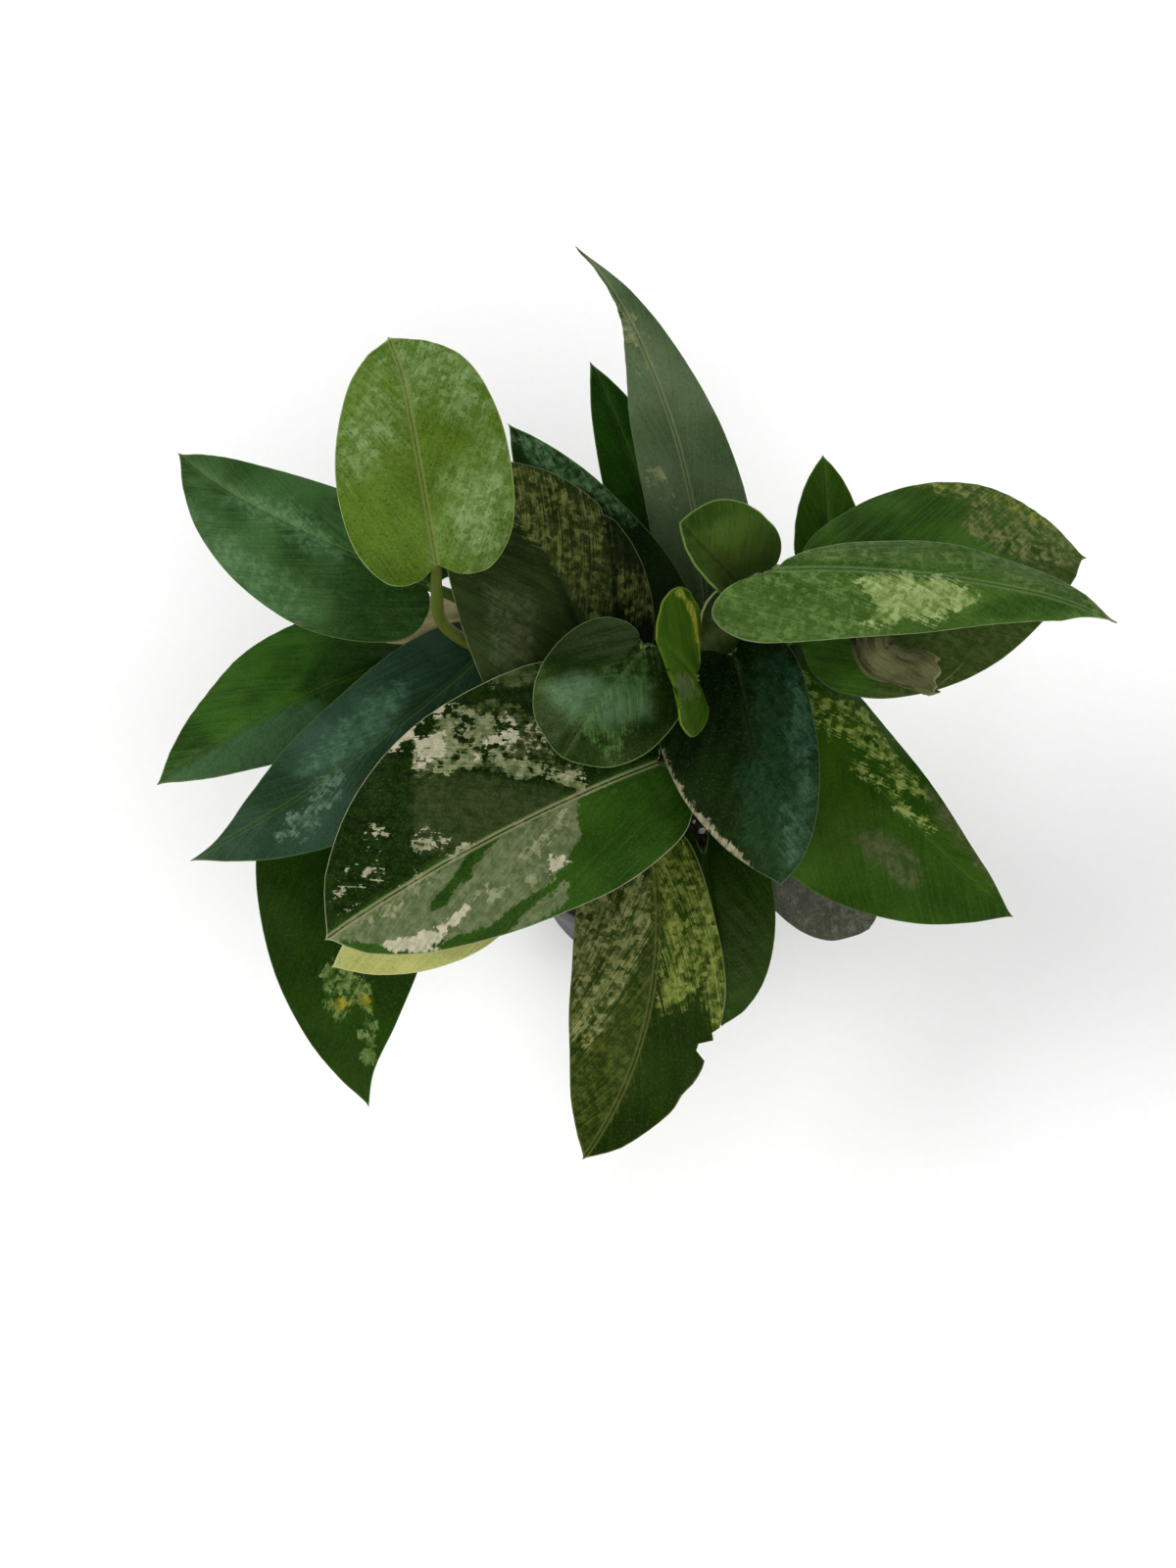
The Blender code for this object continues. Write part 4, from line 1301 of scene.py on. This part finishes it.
sheath_bm = bmesh.new()
keys = ("side", "vein", "edge", "under", "stalk")
layers = {key: sheath_bm.verts.layers.float.new(key) for key in keys}
paper = bmesh.ops.create_grid(sheath_bm, x_segments=40, y_segments=48, size=1)["verts"]
for vert in paper:
    across, along = vert.co.x, (vert.co.y + 1) / 2
    vert.co = sheath_point(across, along)
    vert[layers["side"]] = PAPER_START + PAPER_LENGTH * along
    vert[layers["vein"]] = PAPER_HALF * across
    vert[layers["edge"]] = PAPER_HALF * min(1 - abs(across), 2 * (1 - along))
thicken(sheath_bm, PAPER_THICKNESS, layers["under"])
path = stalk_path("right", 117, [metres(stop) for stop in SHEATH_LED])
thick, taper = SHEATH_STALK
radii = [(thick - taper * i / len(path)) * MM for i in range(len(path))]
for vert in rod(sheath_bm, path, radii, STALK_SIDES):
    vert[layers["stalk"]] = 1
for vert in rod(sheath_bm, [metres(stop) for stop in THREAD_PATH], THREAD_RADII, 6):
    vert[layers["stalk"]] = 1
piece(
    "dry_sheath",
    sheath_bm,
    leaf_finish(
        "dry_sheath_skin",
        fresh=(100, 100, 71),
        deep=(53, 52, 34),
        rim=(126, 126, 93),
        rib=(89, 86, 55),
        stalk=(86, 86, 50),
        # The under colour is the inner side of the roll, painted dark as the shade inside the tube.
        under=(60, 56, 37),
        lines=0.9,
        roughness=0.7,
        gloss=0.1,
    ),
    "sheath_dry",
)


# The broad right leaf
# A broad olive leaf of the right vine under the long one, its tip hooked. A tan-yellow mottle
# runs along its upper margin towards the tip.

ELLIPSE = (
    (0.00, 0.00), (0.22, -0.05), (0.50, 0.00), (0.78, 0.12), (0.97, 0.33),
    (0.97, 0.56), (0.76, 0.78), (0.32, 0.93), (0.00, 1.00),
)
BROAD = (
    (0.00, 0.00), (0.30, -0.08), (0.68, -0.05), (0.93, 0.11), (1.00, 0.32),
    (0.87, 0.56), (0.56, 0.78), (0.20, 0.93), (0.00, 1.00),
)
grow_leaf(
    "right_broad_leaf",
    "leaf_right_broad",
    Blade(
        (41, 18, 158), (114, 41, 148), 58, (ELLIPSE, BROAD), bend=25, fold=4, curl=(-20, -20),
        skew=0.02, hook=3, wave=(0.8, 2, 0.2), seed=12, drip=0.7,
    ),
    "right",
    109,
    ((34, 12, 124), (37, 19, 144)),
    leaf_finish(
        "right_broad_skin",
        fresh=(66, 98, 36),
        deep=(34, 60, 13),
        marks=(
            ("dull", (50, 66, 26), (72, 86, 44), 0.9, 0.8, 0.3),
            ("mottle", (56, 70, 34), (116, 120, 78), 0.60, 1.8, 0.25),
            ("gold", (82, 96, 38), (126, 130, 68), 0.54, 2.0, 0.2),
        ),
        drawn=0.7,
    ),
    columns=56,
    rows=80,
    marks={
        "dull": (((1.2, 0.0), (0.02, 0.3), (0.02, 1.0), (1.2, 1.1)),),
        "mottle": (
            ((-0.93, 0.65), (-0.79, 0.83), (-0.47, 0.91), (-0.07, 0.97), (0.10, 0.96),
             (0.06, 0.81), (-0.12, 0.68), (-0.39, 0.59), (-0.59, 0.66), (-0.82, 0.60)),
        ),
        "gold": (
            ((-1.0, 0.52), (-0.93, 0.62), (-0.80, 0.66), (-0.86, 0.58)),
            ((-0.75, 0.72), (-0.60, 0.84), (-0.35, 0.93), (-0.42, 0.86), (-0.60, 0.76)),
        ),
    },
)


# The right front leaf
# A green leaf of the right vine pointing down and right, with yellow-green flecks over its base
# and a bluish painted highlight where it comes out from under the others.

WEDGE = (
    (0.00, 0.00), (0.24, -0.13), (0.62, -0.21), (0.98, -0.10), (1.00, 0.14),
    (0.86, 0.38), (0.58, 0.63), (0.24, 0.87), (0.00, 1.00),
)
grow_leaf(
    "right_front_leaf",
    "leaf_right_front",
    Blade(
        (36, -1, 142), (93, -55, 124), 50, (WEDGE, LANCE), bend=25, roll=6, curl=(-45, -15),
        skew=0.3, sweep=1.5, hook=-1, wave=(0.8, 2, 0.2), seed=13,
    ),
    "right",
    96,
    ((33, -3, 110), (33, -2, 130)),
    leaf_finish(
        "right_front_skin",
        fresh=(53, 82, 15),
        deep=(28, 57, 4),
        marks=(
            # The dull mark is a bluish painted highlight near the base.
            ("dull", (50, 72, 34), (80, 102, 60), 0.7, 1.2, 0.35),
            ("flecks", (66, 88, 28), (136, 150, 84), 0.57, 2.2, 0.12),
            ("low", (62, 70, 42), (84, 90, 60), 0.62, 1.4, 0.35),
        ),
        drawn=0.45,
    ),
    columns=48,
    rows=72,
    marks={
        # The dull shape is a bluish painted highlight near the base.
        "dull": (((-0.91, -0.13), (-1.14, -0.07), (-1.14, 0.12), (-0.58, 0.12), (-0.50, 0.02)),),
        "flecks": (
            ((-0.56, 0.10), (-0.81, 0.20), (-0.65, 0.40), (-0.48, 0.51), (-0.28, 0.42),
             (-0.33, 0.26), (-0.21, 0.15)),
            ((-0.15, -0.02), (-0.45, -0.05), (-0.40, 0.10), (-0.10, 0.16), (-0.05, 0.08)),
            ((-0.04, 0.30), (-0.16, 0.40), (-0.12, 0.62), (-0.02, 0.60)),
        ),
        "low": (
            ((0.42, 0.45), (0.22, 0.50), (0.17, 0.66), (0.37, 0.69), (0.44, 0.54)),
            ((-0.62, 0.50), (-0.40, 0.60), (-0.20, 0.90), (-0.50, 0.78)),
        ),
    },
)


# The grey leaf
# A small blunt leaf of the right vine, low under the others, grey all over because its skin has
# lifted from the green below it.

grow_leaf(
    "grey_leaf",
    "leaf_grey",
    Blade(
        (34, -20, 103), (60, -48, 92), 34, (ROUND, ROUND), bend=15, curl=(-15, -15), seed=14,
        drip=0,
    ),
    "right",
    84,
    ((30, -10, 94),),
    leaf_finish(
        "grey_skin",
        fresh=(86, 84, 78),
        deep=(60, 60, 54),
        marks=(("frost", (72, 72, 66), (104, 102, 94), 0.56, 1.8, 0.2),),
        rim=(104, 102, 92),
        rib=(88, 88, 78),
        grit=2.0,
    ),
    marks={"frost": (((-0.9, 0.4), (0.9, 0.4), (0.6, 0.95), (-0.6, 0.95)),)},
)


# The right back leaf
# A small olive leaf of the back vine, whose pointed end shows behind the right leaves.

grow_leaf(
    "right_back_leaf",
    "leaf_right_back",
    Blade((49, 40, 126), (47, 74, 138), 19, (LANCE, LANCE), bend=10, fold=8, curl=(-5, -5), seed=15),
    "back",
    96,
    ((26, 31, 108), (42, 36, 119)),
    leaf_finish(
        "right_back_skin",
        fresh=(50, 80, 12),
        deep=(31, 58, 6),
    ),
    stalk=1.8,
)


# The tall leaf
# A long grey-green leaf of the back vine that leans away upwards. It narrows to a thread-like
# drip tip, and pale flecks line its midrib.

SPUR = (
    (0.00, 0.00), (0.30, -0.05), (0.68, -0.03), (0.94, 0.11), (1.00, 0.31),
    (0.84, 0.52), (0.44, 0.68), (0.07, 0.82), (0.00, 1.00),
)
grow_leaf(
    "tall_leaf",
    "leaf_tall",
    Blade(
        (15, 39, 118), (-18, 121, 170), 29, (SPUR, WEDGE), bend=15, fold=8, curl=(-15, -15),
        skew=0.1, sweep=6, hook=-3, seed=16,
    ),
    "back",
    103,
    ((11, 32, 108),),
    leaf_finish(
        "tall_skin",
        fresh=(86, 100, 76),
        deep=(60, 78, 52),
        marks=(("pale", (80, 94, 62), (128, 134, 102), 0.56, 2.2, 0.12),),
        rib=(108, 116, 86),
        rib_share=0.7,
    ),
    marks={
        "pale": (
            ((-0.07, 0.81), (0.10, 0.73), (0.03, 0.64), (-0.26, 0.66), (-0.33, 0.74)),
            ((-0.78, 0.44), (-0.60, 0.38), (-0.36, 0.28), (-0.66, 0.33), (-0.80, 0.39)),
        ),
    },
)


# The leaf behind the tall one
# A plain dark green leaf, low on the back vine, with only its pointed end in view.

grow_leaf(
    "tall_back_leaf",
    "leaf_tall_back",
    Blade(
        (5, 46, 107), (-17, 105, 135), 22, (LANCE, LANCE), bend=15, fold=8, curl=(-10, -10),
        sweep=2, seed=17,
    ),
    "back",
    88,
    ((5, 36, 98),),
    leaf_finish(
        "tall_back_skin",
        fresh=(26, 66, 4),
        deep=(12, 42, 1),
    ),
)


# The back left leaf
# A dark leaf of the back vine, pointing up and left between the tall leaf and the smoky one. It
# has a thin pale rim, and a painted highlight over its outer half.

grow_leaf(
    "back_left_leaf",
    "leaf_back_left",
    Blade(
        (6, 19, 138), (-39, 76, 152), 28, (LANCE, LANCE), bend=15, fold=4, curl=(-15, -15),
        skew=-0.15, wave=(0.6, 2, 0.2), seed=18,
    ),
    "back",
    110,
    ((4, 18, 124),),
    leaf_finish(
        "back_left_skin",
        fresh=(12, 38, 8),
        deep=(4, 18, 2),
        # The sheen mark is a painted highlight over the outer half.
        marks=(("painted_sheen", (36, 64, 32), (84, 112, 80), 0.72, 1.4, 0.4),),
        rim=(84, 100, 66),
        rim_share=0.8,
        drawn=0.6,
    ),
    marks={
        # The sheen shape is a painted highlight.
        "painted_sheen": (
            ((-0.10, 0.94), (0.50, 0.90), (0.95, 0.66), (0.80, 0.44), (0.45, 0.60), (-0.04, 0.74)),
        ),
    },
)


# The smoky leaf
# A broad leaf on the front left vine. An olive mottled band runs beside its midrib, its left half
# is smoky grey, and a strip of plain dark green follows the right margin.

smoky_skin = leaf_finish(
    "smoky_skin",
    fresh=(44, 56, 26),
    deep=(24, 36, 11),
    marks=(
        ("dark", (2, 13, 1), (8, 24, 4), 1.0, 0.7, 0.12),
        ("haze", (48, 58, 36), (84, 90, 64), 0.62, 1.0, 0.6),
        ("band", (32, 44, 13), (108, 112, 64), 0.58, 1.9, 0.3),
    ),
    rim=(112, 114, 84),
    rib=(52, 62, 30),
    rim_share=0.8,
    drawn=0.85,
)
grow_leaf(
    "smoky_leaf",
    "leaf_smoky",
    Blade(
        (-16, 6, 143), (-49, 57, 166), 52, (OVATE, OVATE), bend=20, fold=4, curl=(-15, -15),
        skew=-0.14, sweep=5, wave=(0.8, 2, 0.1), seed=19, bites=((1, 0.53, 0.07, 0.02),),
    ),
    "front_left",
    108,
    ((-20, -10, 124), (-17, 0, 136)),
    smoky_skin,
    columns=56,
    rows=80,
    marks={
        "dark": (((0.02, -0.1), (0.50, 0.24), (0.80, 0.55), (1.2, 0.60), (1.2, -0.1)),),
        "haze": (((-0.60, 0.51), (-0.32, 0.40), (-0.43, 0.26), (-0.67, 0.16), (-0.82, 0.27)),),
        "band": (
            ((0.33, 0.90), (0.43, 0.85), (0.57, 0.77), (0.70, 0.67), (0.81, 0.56), (0.84, 0.54),
             (0.72, 0.48), (0.53, 0.31), (0.44, 0.22), (0.37, 0.19), (0.14, 0.23), (0.11, 0.31),
             (0.12, 0.39), (0.04, 0.45), (0.05, 0.53), (-0.05, 0.63), (-0.02, 0.76)),
            ((0.73, 0.31), (1.00, 0.24), (1.05, 0.14), (0.94, 0.08), (0.61, 0.15), (0.58, 0.25)),
        ),
    },
)


# The teal leaf
# A very dark leaf in the middle, on the right vine, pointing down. A cream ribbon runs along its
# left margin, and its right margin turns down; satin light over its right half, brightest at that
# margin, is a painted highlight.

grow_leaf(
    "teal_leaf",
    "leaf_teal",
    Blade(
        (19, 3, 164), (31, -54, 150), 40, (OVATE, LANCE), bend=25, fold=4, curl=(-15, -15),
        skew=0.15, wave=(0.6, 2, 0.1), seed=20,
    ),
    "right",
    103,
    ((22, -2, 122), (22, 1, 145)),
    leaf_finish(
        "teal_skin",
        fresh=(12, 36, 6),
        deep=(2, 12, 1),
        marks=(
            # The satin and sheen marks are a painted highlight over the right half and its margin.
            ("satin", (17, 42, 22), (28, 56, 37), 0.85, 0.9, 0.5),
            ("painted_sheen", (38, 66, 50), (66, 94, 76), 0.60, 1.4, 0.5),
            ("ribbon", (112, 108, 86), (152, 144, 122), 0.85, 0.9, 0.1),
        ),
        rim=(84, 98, 72),
        rib_share=0.04,
        roughness=0.36,
        drawn=0.4,
    ),
    columns=48,
    rows=80,
    marks={
        # A painted highlight: satin light over the right half, brighter at its margin.
        "satin": (
            ((-0.15, 0.25), (-0.30, 0.05), (-0.80, 0.02), (-1.20, 0.30), (-1.10, 0.65),
             (-0.50, 0.95), (0.05, 1.02), (0.35, 0.76), (0.20, 0.50), (-0.10, 0.45)),
        ),
        "painted_sheen": (
            ((-0.91, 0.10), (-0.90, 0.42), (-0.62, 0.66), (-0.55, 0.43)),
            ((-0.30, 0.70), (-0.10, 0.92), (-0.50, 0.86), (-0.60, 0.72)),
        ),
        "ribbon": (
            ((1.15, 0.32), (1.05, 0.45), (0.90, 0.58), (0.52, 0.80), (0.20, 0.96), (0.42, 0.80),
             (0.78, 0.60), (0.92, 0.46), (0.98, 0.34)),
        ),
    },
)


# The front mottled leaf
# A leaf of the front vine that hangs down in front, olive and mottled on its left half and at
# the upper right, plain green below. Pale strokes at its upper left are partly real mottling and
# partly painted highlight. Its right margin was torn and has healed crumpled.

grow_leaf(
    "front_mottled_leaf",
    "leaf_front_mottled",
    Blade(
        (0, -39, 124), (-19, -111, 88), 43, (OVATE, LANCE), bend=25, fold=4, curl=(10, -15),
        skew=0.06, sweep=-8, wave=(1.6, 3, 0.2), crumple=1.6, seed=21,
        bites=((-1, 0.10, 0.26, 0.17), (-1, 0.52, 0.26, 0.02), (-1, 0.47, 0.08, 0.01),
               (-1, 0.66, 0.06, 0.03)),
    ),
    "front",
    92,
    ((2, -32, 108),),
    leaf_finish(
        "front_mottled_skin",
        fresh=(34, 54, 6),
        deep=(16, 36, 0),
        marks=(
            ("olive", (38, 50, 10), (74, 82, 34), 0.60, 1.8, 0.3),
            # The frost mark is pale strokes, partly real mottling and partly a painted highlight.
            ("frost", (62, 72, 28), (132, 134, 90), 0.58, 1.9, 0.25),
            ("yellow", (54, 76, 15), (130, 138, 72), 0.68, 1.7, 0.25),
        ),
        rim=(116, 114, 76),
        rib=(92, 94, 52),
        rib_share=0.6,
        drawn=0.75,
    ),
    columns=48,
    rows=80,
    marks={
        "olive": (
            ((1.2, -0.1), (0.00, 0.00), (0.02, 0.53), (0.00, 0.80), (0.0, 1.0), (1.2, 1.0)),
        ),
        # These pale strokes are partly real mottling and partly a painted highlight.
        "frost": (
            ((1.2, 0.10), (0.58, 0.02), (0.18, 0.01), (0.12, 0.16), (0.30, 0.36), (0.60, 0.62),
             (1.1, 0.56)),
        ),
        "yellow": (
            ((-0.02, -0.04), (-0.33, -0.10), (-0.80, 0.00), (-1.20, 0.16), (-1.20, 0.44),
             (-0.90, 0.46), (-0.62, 0.34), (-0.40, 0.42), (-0.16, 0.44), (-0.06, 0.24)),
        ),
    },
)


# The front green leaf
# A plain glossy green leaf, low on the front vine, mostly behind the mottled one. Its hidden half
# is the narrower one, and its heart-shaped base fills the gap above the mottled leaf.

HEEL = (
    (0.00, 0.00), (0.25, -0.24), (0.60, -0.27), (0.92, -0.08), (1.00, 0.25),
    (0.93, 0.52), (0.70, 0.76), (0.32, 0.93), (0.00, 1.00),
)
SLIM = (
    (0.00, 0.00), (0.20, -0.22), (0.42, -0.20), (0.56, 0.00), (0.62, 0.28),
    (0.60, 0.52), (0.44, 0.76), (0.22, 0.93), (0.00, 1.00),
)
grow_leaf(
    "front_green_leaf",
    "leaf_front_green",
    Blade(
        (14, -31, 105), (19, -75, 90), 36, (HEEL, SLIM), bend=25, fold=4, curl=(-15, -15),
        seed=22,
    ),
    "front",
    82,
    ((10, -28, 92),),
    leaf_finish(
        "front_green_skin",
        fresh=(34, 58, 4),
        deep=(16, 38, 0),
        roughness=0.32,
        gloss=0.22,
        drawn=0.6,
    ),
)


# The left front leaf
# A dark leaf of the front left vine that hangs at the lower left, with yellow-green streaks and
# two small yellow spots in its outer half.

grow_leaf(
    "left_front_leaf",
    "leaf_left_front",
    Blade(
        (-82, -9, 104), (-77, -96, 84), 48, (DRIP, LANCE), bend=25, fold=6, curl=(-12, -12),
        skew=0.15, wave=(0.8, 2, 0.4), seed=23,
    ),
    "front_left",
    84,
    ((-48, -16, 94), (-72, -6, 104)),
    leaf_finish(
        "left_front_skin",
        fresh=(32, 60, 4),
        deep=(16, 40, 0),
        marks=(
            ("streaks", (54, 78, 28), (112, 128, 78), 0.56, 1.8, 0.15),
            ("spots", (122, 116, 26), (156, 148, 38), 1.0, 0.8, 0.3),
        ),
        drawn=0.3,
    ),
    columns=48,
    rows=72,
    marks={
        "streaks": (
            ((0.40, 0.57), (0.12, 0.58), (0.18, 0.73), (0.34, 0.70)),
            ((0.07, 0.63), (-0.14, 0.63), (-0.10, 0.71), (0.06, 0.70)),
            ((-0.02, 0.75), (-0.17, 0.76), (-0.09, 0.87), (0.01, 0.84)),
        ),
        "spots": ((0.21, 0.68, 1.2), (-0.04, 0.68, 1.2)),
    },
)


# The pale leaf
# A cream-yellow leaf of the front left vine, nearly without green, that shows as a strip under
# the marbled one.

grow_leaf(
    "pale_leaf",
    "leaf_pale",
    Blade((-42, -49, 130), (-84, -68, 125), 26, (LANCE, LANCE), bend=15, curl=(-20, -20), seed=24),
    "front_left",
    98,
    ((-27, -34, 112), (-36, -42, 124)),
    leaf_finish(
        "pale_skin",
        fresh=(178, 177, 116),
        deep=(148, 151, 86),
        rim=(184, 180, 142),
        rib=(171, 172, 130),
        stalk=(129, 136, 84),
        under=(146, 149, 113),
    ),
)


# The floor, the light and the camera
# A plain pale studio floor, broad soft light from four sides, strongest from the left, and the
# camera where it was held: high over the plant, looking steeply down.

ELEVATION = math.radians(70)
AIM = Vector((-0.0175, -0.0266, 0.150))
DISTANCE = 0.600
LENS = 54
SENSOR = 36
FLOOR_HALF = 3

floor_bm = bmesh.new()
bmesh.ops.create_grid(floor_bm, x_segments=1, y_segments=1, size=FLOOR_HALF)
paper, tree, shader = new_finish("floor_paper", roughness=0.8)
where = node(tree, "TexCoord").outputs["Object"]
tooth = grain(tree, where, 400, 3)
pale = mix(tree, tooth, (0.88, 0.88, 0.87, 1), (0.91, 0.91, 0.90, 1))
tree.links.new(pale, shader.inputs["Base Color"])
floor_mesh = bpy.data.meshes.new("floor")
floor_bm.to_mesh(floor_mesh)
floor_bm.free()
floor_mesh.materials.append(paper)
floor = bpy.data.objects.new("floor", floor_mesh)
bpy.context.scene.collection.objects.link(floor)


def lamp(name, place, strength, breadth):
    """A broad soft light that comes from the direction of a place and faces the plant."""
    light = bpy.data.lights.new(name, "SUN")
    light.energy = strength
    light.angle = math.radians(breadth)
    made = bpy.data.objects.new(name, light)
    bpy.context.scene.collection.objects.link(made)
    made.location = place
    made.rotation_mode = "QUATERNION"
    made.rotation_quaternion = (-Vector(place)).to_track_quat("-Z", "Y")


lamp("left_light", (-0.80, 0.02, 0.60), 1.75, 40)
lamp("right_light", (0.84, -0.10, 0.50), 0.8, 40)
lamp("back_light", (0.05, 0.90, 0.40), 0.5, 40)
lamp("front_light", (0.12, -0.62, 0.76), 1.35, 45)

world = bpy.data.worlds.new("studio")
world.use_nodes = True
sky = world.node_tree.nodes["Background"]
sky.inputs["Color"].default_value = (0.96, 0.98, 1.0, 1)
sky.inputs["Strength"].default_value = 0.21
bpy.context.scene.world = world
bpy.context.scene.view_settings.view_transform = "Standard"
bpy.context.scene.view_settings.look = "Medium High Contrast"

back = Vector((0, -math.cos(ELEVATION), math.sin(ELEVATION)))
lens = bpy.data.cameras.new("camera")
lens.lens = LENS
lens.sensor_width = SENSOR
lens.clip_start = 0.01
camera = bpy.data.objects.new("camera", lens)
bpy.context.scene.collection.objects.link(camera)
camera.location = AIM + back * DISTANCE
camera.rotation_euler = (math.pi / 2 - ELEVATION, 0, 0)
bpy.context.scene.camera = camera
